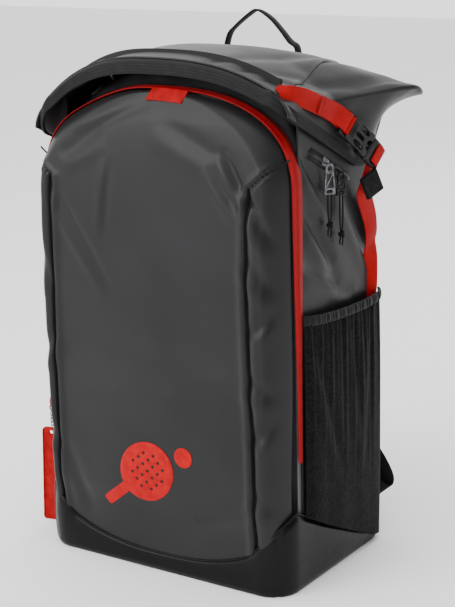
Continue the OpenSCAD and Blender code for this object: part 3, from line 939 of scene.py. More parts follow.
def build_hem():
    """The folded hem of the flap, its stitching and the lining that turns in under it."""
    line, out = hem_line()
    run = np.arange(len(line)) * 2.2
    profile = [(2.2, -1.8), (1.2, 0.4), (0.2, 1.4), (-1.2, 1.9), (-3.2, 1.5), (-4.4, 1.9), (-6.2, 1.4),
               (-8.0, 1.9), (-9.6, 1.5), (-11.2, 2.1), (-12.4, 1.6), (-12.9, 0.2), (-12.2, -1.4)]
    rows = []
    for drop, lift in profile:
        q = line + out * (lift + 0.35 * waves(run, np.full_like(run, drop * 2), 9, 9))[:, None]
        q[:, 2] += drop
        rows.append(q)
    band = shell("hem_fold", np.stack(rows, 1), HEM, "flap", 1.3, flip=False)
    dress(band, "black_webbing", "hem_band")
    for i, drop in enumerate((-3.3, -6.2, -9.5)):
        q = line + out * 1.75
        q[:, 2] += drop
        stitches(f"hem_stitch_{i}", q, out, THREAD, "flap", 3.2, 2.2, 0.28)
    # the lining that turns in under the flap from the hem
    rows = []
    for k in np.linspace(0, 1, 14):
        q = line + out * (-1.5 - 26 * k)
        bag_out = 3.4 + 2.6 * np.sin(run / 19 + 1.3 * np.sin(run / 41)) + 2.2 * waves(run,
                np.full_like(run, 30 * k), 17, 16)
        q[:, 2] += -10.5 + 6 * math.sin(k * math.pi / 2) + 14 * k * k - bag_out * math.sin(math.pi * k)
        rows.append(q)
    inner = shell("flap_lining", np.stack(rows, 1), LINING, "flap", 0.9, flip=False)


def build_wing_back():
    """The rear layer of each wing, closing it towards the back panel."""
    for side, label in SIDES:
        t = np.linspace(0, 1, 30)
        edge = flap_point(side * (1.03 + 0.95 * t), np.full_like(t, BACK_Y - 0.6))
        inner = np.stack([np.full_like(t, side * (HALF + 3.5)), np.full_like(t, BACK_Y - 0.6),
                          506 - 30 * t], 1)
        rows = [edge + (inner - edge) * k + np.array([0, -1.6 * math.sin(math.pi * k), 0])
                for k in np.linspace(0, 1, 10)]
        piece = shell(f"wing_back_{label}", np.stack(rows, 1), FLAP_LIT, "flap", 1.2, flip=side > 0)


build_front()
build_zip_band()
build_body()
build_boot()
build_flap()


# ---------------------------------------------------------------- flat plates with rounded edges
def outline_plate(name, outlines, thick, bevel, material, place, body=None, resolution=3):
    """Closed outlines in a plane as one round-edged plate; all but the first are holes."""
    data = bpy.data.curves.new(name, "CURVE")
    data.dimensions = "2D"
    data.fill_mode = "BOTH"
    data.extrude = max(thick / 2 - bevel, 0.01) * MM
    data.bevel_depth, data.bevel_resolution = bevel * MM, resolution
    data.offset = -bevel * MM
    for outline in outlines:
        spline = data.splines.new("POLY")
        spline.points.add(len(outline) - 1)
        for point, (x, y) in zip(spline.points, outline):
            point.co = (x * MM, y * MM, 0, 1)
        spline.use_cyclic_u = True
    temp = bpy.data.objects.new(name + "_curve", data)
    bpy.context.scene.collection.objects.link(temp)
    bpy.context.view_layer.update()
    mesh = bpy.data.meshes.new_from_object(temp.evaluated_get(bpy.context.evaluated_depsgraph_get()))
    bpy.data.objects.remove(temp)
    bpy.data.curves.remove(data)
    cleaned(mesh, merge=1e-6)
    mesh.transform(place)
    mesh.materials.clear()
    mesh.materials.append(material)
    shade_smooth(mesh)
    mesh.name = name
    obj = bpy.data.objects.new(name, mesh)
    bpy.context.scene.collection.objects.link(obj)
    mesh.set_sharp_from_angle(angle=math.radians(40))
    if body:
        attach(obj, body)
    return obj


def rounded_outline(x0, x1, y0, y1, r, steps=6):
    """A rectangle with round corners."""
    pts = []
    for cx, cy, start in ((x1 - r, y1 - r, 0), (x0 + r, y1 - r, 90), (x0 + r, y0 + r, 180),
                          (x1 - r, y0 + r, 270)):
        for i in range(steps + 1):
            a = math.radians(start + 90 * i / steps)
            pts.append((cx + r * math.cos(a), cy + r * math.sin(a)))
    return pts


def soft_outline(points, per=6):
    """A closed outline curving through the points."""
    return [tuple(p[:2]) for p in curve_through([(x, y, 0) for x, y in points], len(points) * per,
                                                True)][:-1]


def axes(x, y, z, origin):
    """A placing matrix from three axis directions and an origin in millimetres."""
    m = Matrix.Identity(4)
    for i, v in enumerate((x, y, z)):
        m.col[i][:3] = Vector(v).normalized()
    m.col[3][:3] = Vector(origin) * MM
    return m


def join(parts, name, body=None):
    """Join pieces into the first of them, under a new name."""
    keep = parts[0]
    bm = bmesh.new()
    for part in parts:
        bm.from_mesh(part.data)
    bm.to_mesh(keep.data)
    bm.free()
    for part in parts[1:]:
        bpy.data.objects.remove(part)
    keep.name = name
    if body:
        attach(keep, body)
    return keep


# ---------------------------------------------------------------- buckles
TILT, TURN = math.radians(138.5), math.radians(-14.4)
MOUTH = np.array([171.5, 38, 448])
UP = np.array([-math.cos(TILT) * math.sin(TURN), math.cos(TILT) * math.cos(TURN), math.sin(TILT)])
WIDE = np.array([math.sin(TILT) * math.sin(TURN), -math.sin(TILT) * math.cos(TURN), math.cos(TILT)])
OUT = np.array([math.cos(TURN), math.sin(TURN), 0])


def at_buckle(side, along, lift=0.0, wide=0.0):
    """A point in a buckle's own frame, on either side of the bag."""
    return sided(MOUTH + UP * along + OUT * lift + WIDE * wide, side)


def buckle_path(side, *points):
    """Several points of a buckle's own frame, as at_buckle gives them."""
    return [at_buckle(side, *point) for point in points]


def buckle_plate(name, side, outlines, thick, bevel, lift, material=None):
    """A plate of a buckle, lying in the buckle's plane."""
    place = axes(sided(WIDE, side), sided(UP, side), sided(OUT, side), at_buckle(side, 0, lift))
    return outline_plate(name, outlines, thick, bevel, material or BUCKLE, place)


def build_female(side, label):
    """The female buckle: two faces, side rails, a bar for the webbing and grip ribs."""
    face = soft_outline([(-11.5, 0.3), (-13.6, 4), (-12.6, 12), (-13.4, 24), (-13.2, 33), (-11.5, 36.8),
                         (0, 37.2), (11.5, 36.8), (13.2, 33), (13.4, 24), (12.6, 12), (13.6, 4),
                         (11.5, 0.3), (6, 0.6), (4.6, 5), (0, 6.5), (-4.6, 5), (-6, 0.6)])
    windows = [soft_outline([(s * 6.8, 9), (s * 9.8, 9.6), (s * 11.2, 16), (s * 10.4, 23), (s * 7.0, 24.6),
                             (s * 5.6, 17)]) for s in (-1, 1)]
    centre = rounded_outline(-2.2, 2.2, 12, 27, 2.1)
    parts = [buckle_plate("f1", side, [face, *windows, centre], 2.4, 0.8, 4.0),
             buckle_plate("f2", side, [face], 2.2, 0.8, -3.9)]
    for s in (-1, 1):
        rail = rounded_outline(*sorted((s * 10.9, s * 13.2)), 24.5, 45.6, 0.9)
        foot = rounded_outline(*sorted((s * 11.4, s * 13.2)), 1.2, 9.5, 0.8)
        parts.append(buckle_plate("f3", side, [rail], 6.0, 0.5, 0))
        parts.append(buckle_plate("f4", side, [foot], 6.2, 0.4, 0))
    parts.append(buckle_plate("f5", side, [rounded_outline(-13, 13, 30.5, 36.6, 1.2)], 6.2, 0.5, 0))
    parts.append(buckle_plate("f6", side, [rounded_outline(-13, 13, 42.4, 46, 1.4)], 6.2, 0.8, 0))
    for k in range(4):
        parts.append(buckle_plate("f7", side, [rounded_outline(-8, 8, 28 + 1.9 * k, 28.9 + 1.9 * k, 0.4)],
                                  0.7, 0.2, 5.4))
    piece = join(parts, f"buckle_female_{label}", "flap")
    dress(piece, "black_plastic", f"female_buckle_{label}")


def build_male(side, label):
    """The male buckle with its arms, and the webbing wrapped through it."""
    body = soft_outline([(-13, -0.8), (-13.2, -6), (-12.6, -19), (-11, -20.3), (0, -20.4), (11, -20.3),
                         (12.6, -19), (13.2, -6), (13, -0.8), (8, -0.7), (0, -0.6), (-8, -0.7)])
    slot = rounded_outline(-10.4, 10.4, -17, -12.4, 1.4)
    parts = [buckle_plate("m1", side, [body, slot], 6, 1.4, 0),
             buckle_plate("m2", side, [rounded_outline(-12.6, 12.6, -9.4, -0.9, 2)], 8.6, 1.6, 0)]
    for s in (-1, 1):
        arm = soft_outline([(s * 7.4, -1), (s * 7.0, 6), (s * 7.4, 11), (s * 8.2, 13.8), (s * 9.6, 13.6),
                            (s * 10.6, 11), (s * 10.9, 8.6), (s * 9.4, 5), (s * 10.2, -1)])
        parts.append(buckle_plate("m3", side, [arm], 4.2, 0.9, 0))
    parts.append(buckle_plate("m4", side, [rounded_outline(-1.5, 1.5, -1, 12.6, 1.3)], 3.8, 0.7, 0))
    piece = join(parts, f"buckle_male_{label}", f"male_{label}")
    dress(piece, "black_plastic", f"male_buckle_{label}")
    path = buckle_path(side, (-9.6, 5.2), (-15, 5.3), (-20, 4.6), (-22.2, 2.4),
                       (-22.8, 0), (-22, -2.8), (-18, -4.8), (-11, -5.4))
    wrap = ribbon(f"male_wrap_{label}", curve_through(path, 40), sided(WIDE, side), 20, 1.5, RED_WEB,
                  f"male_{label}")
    dress(wrap, "red_webbing", f"male_webbing_{label}")
    rows = []
    for off in (-7.5, 7.5):
        line = np.array([at_buckle(side, -10.5, 6.1, off), at_buckle(side, -19, 5.9, off)])
        rows.append(stitches("w", resample(line, 6), sided(OUT, side), RED_THREAD, None, 2.4, 1.7, 0.25))
    join(rows, f"wrap_stitch_{label}", f"male_{label}")


def build_tail_tab(side, label):
    """The black tail tab, folded and box-stitched, and the webbing that it hangs from."""
    tab_x, tab_y = sided((0.12, 0.42, -0.90), side), sided((0.30, 0.83, 0.42), side)
    tab_z = np.cross(tab_x, tab_y)
    mid = sided((174.5, 42, 409) if side > 0 else (173.5, 51, 410), side)
    for k, (lift, size) in enumerate(((0, 12.6), (1.9, 12.2))):
        place = axes(tab_x, tab_y, tab_z * side, mid + sided(OUT, side) * lift)
        outline = rounded_outline(-size, size, -11.5 + 0.5 * k, 11.5 - 0.5 * k, 1.4)
        tab = outline_plate("tab", [outline], 1.8, 0.6, BLACK_WEB, place)
        tab.name = f"tail_tab_{label}_{k}"
        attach(tab, f"male_{label}")
    box = [(-10, -9), (10, -9), (10, 9), (-10, 9), (-10, -9), (10, 9), (10, -9), (-10, 9)]
    line = resample(np.array([mid + sided(OUT, side) * 2.9 + tab_x * a + tab_y * b for a, b in box]), 120)
    stitches(f"tab_stitch_{label}", line, sided(OUT, side), THREAD, f"male_{label}", 2.8, 2.0, 0.3)
    end = mid - tab_x * 9 + sided(OUT, side) * 0.2
    path = [at_buckle(side, -21, 4.4), sided((175.5, 50, 427), side), end]
    link = ribbon(f"tail_link_{label}", curve_through(path, 16), sided(WIDE, side), 18, 1.4, BLACK_WEB,
                  f"male_{label}")


def closure_strap(side, label):
    """The upper strap from the flap to the buckle, where its end is doubled back and box-stitched."""
    path = np.array([(136, -84, 515.5), (147, -74, 513.5), (152.6, -60, 509.5), (156.6, -44, 503),
                     (159.2, -25, 495), (160.8, -8, 487.2), (161.8, 3.2, 480.6)]) * [side, 1, 1]
    path[:-1, 2] += left_sag(path[:-1, 0], path[:-1, 1]) * smooth((0 - path[:-1, 1]) / 30)
    widths = np.array([(0.35, 0.62, 0.62), (0.25, 0.64, 0.68), (0.1, 0.62, 0.75), (0.02, 0.62, 0.78),
                       (0, 0.62, 0.78), (0.1, 0.64, 0.75), tuple(-WIDE)]) * [side, 1, 1]
    line = curve_through(path, 60)
    lower = ribbon(f"closure_strap_{label}", line, widths, 20.5, 1.5, RED_WEB, "flap")
    dress(lower, "red_webbing", f"upper_strap_{label}")
    # the doubled end comes back through the buckle's slot and is box-stitched
    out = sided((0.93, -0.30, 0.22), side)
    loop = buckle_path(side, (38.0, 1.0), (39.4, 3.4), (42.6, 4.9), (47.6, 4.6))
    back = [line[k] + out * 1.9 for k in (52, 46, 40, 35)]
    over = ribbon(f"closure_fold_{label}", curve_through(loop + back, 50),
                  np.array([sided(-WIDE, side)] * 3 + [widths[4]] * 2), 20, 1.4, RED_WEB, "flap")
    path = buckle_path(side, (36, 5.9), (39.4, 3.0), (40.0, -2.0), (44, -4.4), (48.4, -0.6), (51, 1.6))
    wrap = ribbon(f"closure_wrap_{label}", curve_through(path, 30), sided(WIDE, side), 20, 1.3, RED_WEB,
                  "flap")
    w = widths[4] / np.linalg.norm(widths[4])
    runs = [np.array([line[34] + w * 8.6 + out * 3.0, line[34] - w * 8.6 + out * 3.0]),
            np.array([line[38] + w * 8.6 + out * 3.0, line[38] - w * 8.6 + out * 3.0])]
    s = join([stitches("c", resample(r, 12), out, THREAD, None, 2.2, 1.7, 0.32) for r in runs],
             f"closure_stitch_{label}", "flap")


def lower_webbing(side, label):
    """The lower webbing, from behind the male buckle down into the pocket."""
    path = np.array([(171.5, 51, 431), (168, 46, 414), (165, 43, 400), (163.5, 52, 384), (162.5, 61, 368),
                     (161.8, 65, 354), (160.2, 67, 345), (158.2, 68, 338), (157.4, 70, 322),
                     (155.4, 71, 303), (154.4, 71, 285), (154.2, 71, 250)]) * [side, 1, 1]
    lean = np.array([(0.25, 0.93, 0.2), (0.25, 0.95, 0.2), (0.3, 0.88, 0.36), (0.25, 0.80, 0.55),
                     (0.2, 0.80, 0.55), (0.25, 0.72, 0.62), (0.6, 0.6, 0.45), (0.7, 0.7, 0.1), (0.1, 1, 0),
                     (0.02, 1, 0)]) * [side, 1, 1]
    band = ribbon(f"lower_strap_{label}", curve_through(path, 90), lean, 20, 1.5, RED_WEB)
    dress(band, "red_webbing", f"lower_webbing_{label}")
    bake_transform(band)


def build_closure_straps():
    """Both closure straps, above and below their buckles."""
    for side, label in SIDES:
        closure_strap(side, label)
        lower_webbing(side, label)


def build_buckles():
    """Both side release buckles, each with its tail tab."""
    for side, label in SIDES:
        build_female(side, label)
        build_male(side, label)
        build_tail_tab(side, label)


# ---------------------------------------------------------------- haul loop, sewn tag, print
def build_haul_loop():
    """The haul loop, standing up behind the flap."""
    path = [(-45, 107.8, 492), (-45.5, 109.2, 504), (-45.5, 110.6, 516), (-45, 110.7, 532),
            (-40, 110.7, 548), (-31, 110.6, 557), (-17, 110.4, 567.5), (-5, 110.2, 574.5),
            (4, 110.2, 572.5), (16, 110.4, 565), (29, 110.6, 552), (38, 110.7, 542), (46, 110.8, 536.5),
            (48, 110.8, 524), (46, 110.6, 514), (45, 109.2, 504), (45, 107.8, 492)]
    side = [(0.05, 1, 0), (0.1, 1, 0.1), (0.25, 0.95, 0.2), (0, 1, -0.15), (-0.1, 1, 0.1), (0.2, 1, 0.15),
            (0, 1, 0)]
    loop = ribbon("haul_webbing", curve_through(path, 130), side, 8.8, 2.2, BLACK_WEB, "haul_handle")
    dress(loop, "black_webbing", "haul_loop")


def build_tag():
    """The sewn tag on the zip band, at the top of the arch."""
    x = np.linspace(-7, 37, 40)
    drop = np.linspace(0, 13, 14)
    xx, dd = np.meshgrid(x, drop, indexing="ij")
    top = ARCH_TOP + 3.2 - 1.6 * (np.abs(xx) / 37) ** 2
    p = np.stack([xx - 0.35 * dd, ZIP_Y - 9.8 - 0.62 * dd + 0.3 * np.sin(xx / 9), top - 0.93 * dd], -1)
    tag = shell("zip_tag", p, RUBBER, "racket_door", 1.1, flip=True)
    dress(tag, "red_rubber", "sewn_tag")
    ring = [(2, 1.6), (37, 1.6), (37, 11.4), (2, 11.4), (2, 1.6)]
    line = np.array([(-7 + a - 0.35 * b, ZIP_Y - 10.2 - 0.62 * b, ARCH_TOP + 2.6 - 0.93 * b)
                     for a, b in ring])
    stitches("zip_tag_stitch", resample(line, 120), (0, -0.83, 0.55), RED_THREAD, "racket_door",
                     2.4, 1.7, 0.22)


def build_graphic():
    """The generic graphic: a paddle with round holes, and a ball."""
    mid, tilt = np.array([-10.0, 112.0]), math.radians(-52)

    def placed(points):
        """Turn points by the tilt and move them to the paddle."""
        c, s = math.cos(tilt), math.sin(tilt)
        return [(mid[0] + a * c - b * s, mid[1] + a * s + b * c) for a, b in points]

    def ring_of(cx, cz, rx, rz, count):
        """Points round an ellipse."""
        return [(cx + rx * math.cos(t), cz + rz * math.sin(t))
                for t in np.linspace(0, 2 * math.pi, count, endpoint=False)]

    head = [(32 * math.cos(t), 36 * math.sin(t)) for t in np.linspace(-math.pi / 2 + 0.19,
                                                                      1.5 * math.pi - 0.19, 70)]
    paddle = placed(head + [(-6, -70), (-4.5, -72), (4.5, -72), (6, -70)])
    holes = [placed(ring_of(9 * i, 9 * j + 2, 1.9, 1.9, 14)) for i in range(-2, 3) for j in range(-2, 3)
             if i * i + j * j < 8]
    ball = ring_of(mid[0] + 48, mid[1] + 24, 11, 11, 40)
    flat = axes((1, 0, 0), (0, 1, 0), (0, 0, 1), (0, 0, 0))
    parts = [outline_plate("p1", [paddle, *holes], 0.4, 0.05, PRINT, flat, None, 1),
             outline_plate("p2", [ball], 0.4, 0.05, PRINT, flat, None, 1)]
    piece = join(parts, "front_graphic")
    bm = bmesh.new()
    bm.from_mesh(piece.data)
    bmesh.ops.triangulate(bm, faces=bm.faces)
    for _ in range(4):
        long_edges = [e for e in bm.edges if e.calc_length() > 0.006]
        if not long_edges:
            break
        bmesh.ops.subdivide_edges(bm, edges=long_edges, cuts=1)
        bmesh.ops.triangulate(bm, faces=bm.faces)
    co = np.array([v.co[:] for v in bm.verts]) / MM
    y = front_y(co[:, 0], co[:, 1]) - 0.28 - co[:, 2]
    for v, x1, y1, z1 in zip(bm.verts, co[:, 0], y, co[:, 1]):
        v.co = (x1 * MM, y1 * MM, z1 * MM)
    bmesh.ops.recalc_face_normals(bm, faces=bm.faces)
    bm.to_mesh(piece.data)
    bm.free()
    door_fold(dress(piece, "red_print", "graphic_lower", "graphic_upper"))


# ---------------------------------------------------------------- side pockets
POCKET_FOLDS = [  # from and to in (y, z), depth, width
    ((-50, 260), (-10, 130), 1.8, 7), ((20, 262), (34, 150), 1.5, 6), ((60, 250), (48, 120), 1.6, 7),
]


def pocket_x(y, z):
    """How far a pocket stands out from the middle."""
    t = np.abs(y - 14) / 80
    out = (1 - np.clip(t, 0, 1) ** 4) ** 0.5
    low = 10 + 4 * np.sin(np.clip((z - 20) / 300, 0, 1) * math.pi)
    return HALF + 1.2 + low * out


def pocket_rim(y, drop):
    """The line of a pocket's hem, sagging in the middle and falling towards the back."""
    hem_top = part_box("pocket_hem_right")[1][2] / MM
    return hem_top - drop - 0.035 * (y + 64) - 3.0 * np.sin((y + 64) / 158 * math.pi)


def pocket_net(side, label):
    """The mesh of a pocket, gathered below its hem."""
    yy, vv = np.meshgrid(np.linspace(-64.5, 93.5, 300), np.linspace(0, 1, 90))
    base = np.interp(yy, [-80, -29, 24, 68, 100], [86, 58, 32, 11, 4])
    zz = base + (pocket_rim(yy, 10.5) - base) * vv
    gather = (vv ** 2.2) * (1.5 * np.sin(yy / 2.4 + 0.8 * np.sin(yy / 11)) + 0.8 * np.sin(yy / 1.37))
    fall = 1.7 * waves(yy * 2.2, zz * 0.35, 31, 15)
    for fold in POCKET_FOLDS:
        fall = fall + crease(yy, zz, *fold)
    edge = smooth((yy + 65) / 10) * smooth((94 - yy) / 10)
    x = pocket_x(yy, zz) + (gather * 0.7 + fall) * edge
    piece = shell(f"pocket_net_{label}", np.stack([x * side, yy, zz], -1), NET, "bag", 0.7, flip=side < 0)
    dress(piece, "pocket_mesh", f"mesh_pocket_{label}")


def pocket_elastic(side, label):
    """The ruched elastic hem of a pocket."""
    yy, vv = np.meshgrid(np.linspace(-65.5, 94, 420), np.linspace(0, 1, 12))
    zz = pocket_rim(yy, 11.5) + 10.8 * vv
    ruche = 0.55 * np.sin(yy / 1.25) * np.sin(math.pi * vv) + 0.3 * np.sin(yy / 0.8 + 2)
    x = pocket_x(yy, zz) + 0.9 + 1.0 * np.sin(math.pi * vv) ** 0.5 + ruche
    band = shell(f"pocket_elastic_{label}", np.stack([x * side, yy, zz], -1), HEM, "bag", 2.0, flip=side < 0)
    dress(band, "black_webbing", f"pocket_hem_{label}")


def build_pockets():
    """The mesh pockets and their ruched elastic hems."""
    for side, label in SIDES:
        pocket_net(side, label)
        pocket_elastic(side, label)


# ---------------------------------------------------------------- sliders, pulls and cords
ZIP_TURN = math.radians(-27)
ZIP_MID = np.array([HALF + 1, -6, 433.0])
ZIP_ALONG = np.array([0, math.cos(ZIP_TURN), math.sin(ZIP_TURN)])


def build_side_zip():
    """The slanting zip below the flap on each side: tape, coil and stitching."""
    across = np.array([0, -math.sin(ZIP_TURN), math.cos(ZIP_TURN)])
    for side, label in SIDES:
        t = np.linspace(-50, 46, 80)
        line = np.array([ZIP_MID + ZIP_ALONG * a for a in t])
        line[:, 0] = side_x(line[:, 1], line[:, 2]) + 0.9 - 3.0 * smooth((np.abs(t + 2) - 34) / 14)
        line = line * [side, 1, 1]
        for lift, wide, material, name in ((0.0, 12, HEM, "tape"), (0.9, 4.6, PLASTIC, "coil")):
            piece = ribbon(f"side_zip_{name}_{label}", line + np.array([side * lift, 0, 0]), across, wide,
                           1.3, material, "bag")
        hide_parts(f"main_zip_tape_{label}")
        for off in (-4.6, 4.6):
            s = stitches(f"side_zip_stitch_{label}_{'up' if off > 0 else 'low'}",
                         line + across * off + np.array([side * 0.7, 0, 0]), (side, 0, 0), THREAD, "bag",
                         3.2, 2.2, 0.25)


def slider(name, place, material, body, node):
    """A zip slider: wedge body, top plate and bridge. place: x across, y along, z outwards."""
    plan = soft_outline([(-3.4, -6), (0, -6.6), (3.4, -6), (4.4, 0), (4.6, 5), (2.2, 6.4), (0, 5.2),
                         (-2.2, 6.4), (-4.6, 5), (-4.4, 0)])
    parts = [outline_plate("s1", [plan], 1.1, 0.4, material, place @ Matrix.Translation((0, 0, 0.4 * MM))),
             outline_plate("s2", [plan], 1.1, 0.4, material, place @ Matrix.Translation((0, 0, 2.9 * MM)))]
    bridge = [(-4.2, 0, 3.0), (-3.6, 0, 4.6), (-1.5, 0, 5.8), (1.5, 0, 5.8), (3.8, 0, 4.4), (4.4, 0, 3.0)]
    line = np.array([(place @ Vector((0, a * MM, c * MM)))[:]
                     for a, _, c in curve_through(bridge, 20)]) / MM
    parts.append(tube("s3", line, 1.0, material))
    piece = join(parts, name, body)
    dress(piece, "zinc" if node.endswith("front") else "black_plastic", node)


def pull_tab(name, top, face, material, body, node, length=29.0):
    """A pull tab: ring end, tapered frame with an open window and a slanting web."""
    face = np.array(face, float) / np.linalg.norm(face)
    down = np.array([0, 0, -1.0])
    wide = np.cross(face, down)
    place = axes(wide, down, np.cross(wide, down), top)
    outer = soft_outline([(-3.2, -2), (-4.6, 2), (-4.9, 7), (-6.2, length - 5), (-6.4, length - 1),
                          (-4.8, length), (4.8, length), (6.4, length - 1), (6.2, length - 5), (4.9, 7),
                          (4.6, 2), (3.2, -2), (0, -2.6)])
    eye = rounded_outline(-2.4, 2.4, 0, 4.6, 1.6)
    window_a = [(-3.2, 8), (2.8, 8), (-4.2, length - 9)]
    window_b = [(3.4, 9.5), (4.4, length - 7), (-3.2, length - 7)]
    hole = rounded_outline(-3.2, 3.2, length - 4.6, length - 2, 1.2)
    tab = outline_plate(name, [outer, eye, window_a, window_b, hole], 1.9, 0.55, material, place, body)
    dress(tab, "zinc" if node.endswith("front") else "black_plastic", node)
    return np.asarray(top, float) + down * (length - 3.2), wide


def cord_loop(name, eye, wide, body, drop, tails):
    """A doubled cord tied through a pull tab: two strands down to an overhand knot, then two free tails."""
    out = np.array([0.9, -0.4, 0]) / np.linalg.norm([0.9, -0.4, 0])
    knot = eye + np.array([0.6, -1.0, -drop])
    path = [knot + [0, 1.2, -tails], knot + wide * 1.6 + [0, 0.4, -tails * 0.5], knot + wide * 0.9,
            knot + wide * 2.0 + [0, 0, drop * 0.4], eye + wide * 1.9 + [0, 0, -4],
            eye + wide * 0.9 + out * 1.3, eye + [0, 0, 1.1], eye - wide * 0.9 - out * 1.3,
            eye - wide * 1.9 + [0, 0, -4], knot - wide * 2.0 + [0, 0, drop * 0.45], knot - wide * 0.9,
            knot - wide * 1.8 + [0, -0.6, -tails * 0.5], knot - wide * 1.4 + [0, -1.0, -tails * 0.85]]
    line = curve_through(path, 120)
    cord = tube(name, line, 0.85, BLACK_WEB, body, 8)
    a = np.linspace(0, 2 * math.pi * 2.2, 60)
    turns = np.stack([knot[0] + 2.5 * np.cos(a), knot[1] + 2.5 * np.sin(a),
                      knot[2] - 2.2 + 4.4 * a / a[-1]], 1)
    tie = tube(name + "_knot", turns, 1.05, BLACK_WEB, body, 8)


def build_sliders():
    """The two sliders of the right-hand zip, with their pulls and cords."""
    across = np.array([0, -math.sin(ZIP_TURN), math.cos(ZIP_TURN)])
    for along, name, material, face, drop, tails in ((-14, "front", ZINC, (0.86, -0.5, 0), 34, 13),
                                                     (12, "rear", DARK_ZINC, (0.94, -0.34, 0), 43, 12)):
        spot = ZIP_MID + ZIP_ALONG * along
        place = axes(across, -ZIP_ALONG, (1, 0, 0), spot + [0.2, 0, 0])
        slider(f"{name}_slider", place, material, f"{name}_zip_slider", f"main_slider_{name}")
        eye, wide = pull_tab(f"{name}_pull", spot + [7.6, 0, -3], face, material, f"{name}_zip_puller",
                             f"main_puller_{name}", 29.0 if name == "front" else 22.0)
        cord_loop(f"{name}_pull_cord", eye, wide, f"{name}_zip_puller", drop, tails)


FOB_X = -172.0                            # the fob hangs this far to the left


def circle(count):
    """Angles evenly spaced round a circle."""
    return np.linspace(0, 2 * math.pi, count, endpoint=False)


def build_racket_slider():
    """The racket zip's slider, and the cord through it that the fob hangs from."""
    low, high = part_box("racket_slider")
    mid = (np.array(low) + np.array(high)) / 2 / MM
    place = axes((0, 1, 0), (0, 0, 1), (-1, 0, 0), (high[0] / MM - 0.2, mid[1], mid[2]))
    slider("racket_zip_slider_body", place @ Matrix.Rotation(math.pi, 4, "Z"), DARK_ZINC,
           "racket_zip_slider", "racket_slider")
    x, y = FOB_X, ZIP_Y
    loop = curve_through([(-163.5, y, 158), (-168, y - 1, 160), (-172.5, y - 1.4, 155),
                          (x - 0.6, y - 1.2, 146), (x + 1.4, y + 0.6, 145), (-169, y + 1.2, 152),
                          (-165, y + 0.8, 156)], 60, True)
    cord = tube("fob_cord", loop[:-1], 0.95, RED_TAPE, None, 8, closed=True)
    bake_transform(cord)


def build_fob_chain():
    """A ring and four links, each turned across the one above."""
    x, y = FOB_X, ZIP_Y
    ring = [(x + 3.4 * math.cos(a), y, 143 + 3.4 * math.sin(a)) for a in circle(28)]
    parts = [tube("r1", ring, 0.8, ZINC, None, 8, closed=True)]
    for k in range(4):
        turn = 0 if k % 2 else 1
        link = [(x - 1 + (1.9 * math.cos(a)) * turn, y + 1.9 * math.cos(a) * (1 - turn),
                 136.5 - 4.0 * k + 2.7 * math.sin(a)) for a in circle(20)]
        parts.append(tube("r2", link, 0.6, ZINC, None, 6, closed=True))
    chain = join(parts, "fob_chain", "fob")
    dress(chain, "zinc", "fob_link")


def build_fob_tag():
    """A red tag with a raised border, leaning a little outwards."""
    mid = (FOB_X - 4.8, ZIP_Y - 0.6, 64)
    place = axes((0.98, 0.19, 0.02), (0.045, 0, 1), (0.19, -0.98, 0), mid)
    edge = rounded_outline(-11, 11, -56, 56, 4)
    inner = rounded_outline(-9, 9, -54, 54, 2.6)
    hole = rounded_outline(-2.2, 2.2, 48.2, 52.6, 2.1)
    parts = [outline_plate("t1", [edge, hole], 3.0, 1.1, RUBBER, place),
             outline_plate("t2", [edge, inner], 4.6, 0.8, RUBBER, place)]
    tag = join(parts, "fob_tag_body", "fob")
    dress(tag, "red_rubber", "fob_tag")
    line = [place @ Vector((a * MM, b * MM, 1.7 * MM)) for a, b in rounded_outline(-7.4, 7.4, -52.6, 46, 2)]
    line = resample(np.array([p[:] for p in line + line[:1]]) / MM, 200)
    stitches("fob_stitch", line, (0.22, -0.97, 0), RED_THREAD, "fob", 3.0, 2.1, 0.3)


build_pockets()
build_buckles()
build_closure_straps()
build_haul_loop()
build_tag()
build_graphic()
build_side_zip()
build_sliders()
build_racket_slider()
build_fob_chain()
build_fob_tag()


# ---------------------------------------------------------------- padded pieces
def slab(name, outline, middle, thick, material, rings=7):
    """A closed crowned pad over an outline; middle(x, z) gives y of its middle surface, in millimetres."""
    outline = np.asarray(outline, float)
    centre = outline.mean(0)
    points, faces = [], []
    count = len(outline)
    depth = np.clip(outline[:, 1], outline[:, 1].min() + 30, outline[:, 1].max() - 30)
    spine = np.stack([np.full(count, centre[0]), depth], 1)
    for way in (-1, 1):
        for k in range(rings + 1):
            t = k / rings
            ring = spine + (outline - spine) * (1 - t)
            swell = thick / 2 * (0.6 + 0.4 * (1 - (1 - t) ** 3))
            for x, z in ring:
                points.append((x, middle(x, z) + way * swell, z))
    size = (rings + 1) * count
    for k in range(rings):
        for i in range(count):
            j = (i + 1) % count
            a, b, c, d = k * count + i, k * count + j, (k + 1) * count + j, (k + 1) * count + i
            faces.append((a, b, c, d))
            faces.append((size + a, size + d, size + c, size + b))
    faces += [(i, size + i, size + (i + 1) % count, (i + 1) % count) for i in range(count)]
    obj = new_object(name, np.array(points), faces, material)
    cleaned(obj.data, merge=5e-5, fill=True)
    return obj


def baked(obj):
    """Replace the object's mesh with its modified one, leaving no modifier on it."""
    bpy.context.view_layer.update()
    mesh = bpy.data.meshes.new_from_object(obj.evaluated_get(bpy.context.evaluated_depsgraph_get()))
    obj.modifiers.clear()
    obj.data = mesh
    shade_smooth(mesh)
    return obj


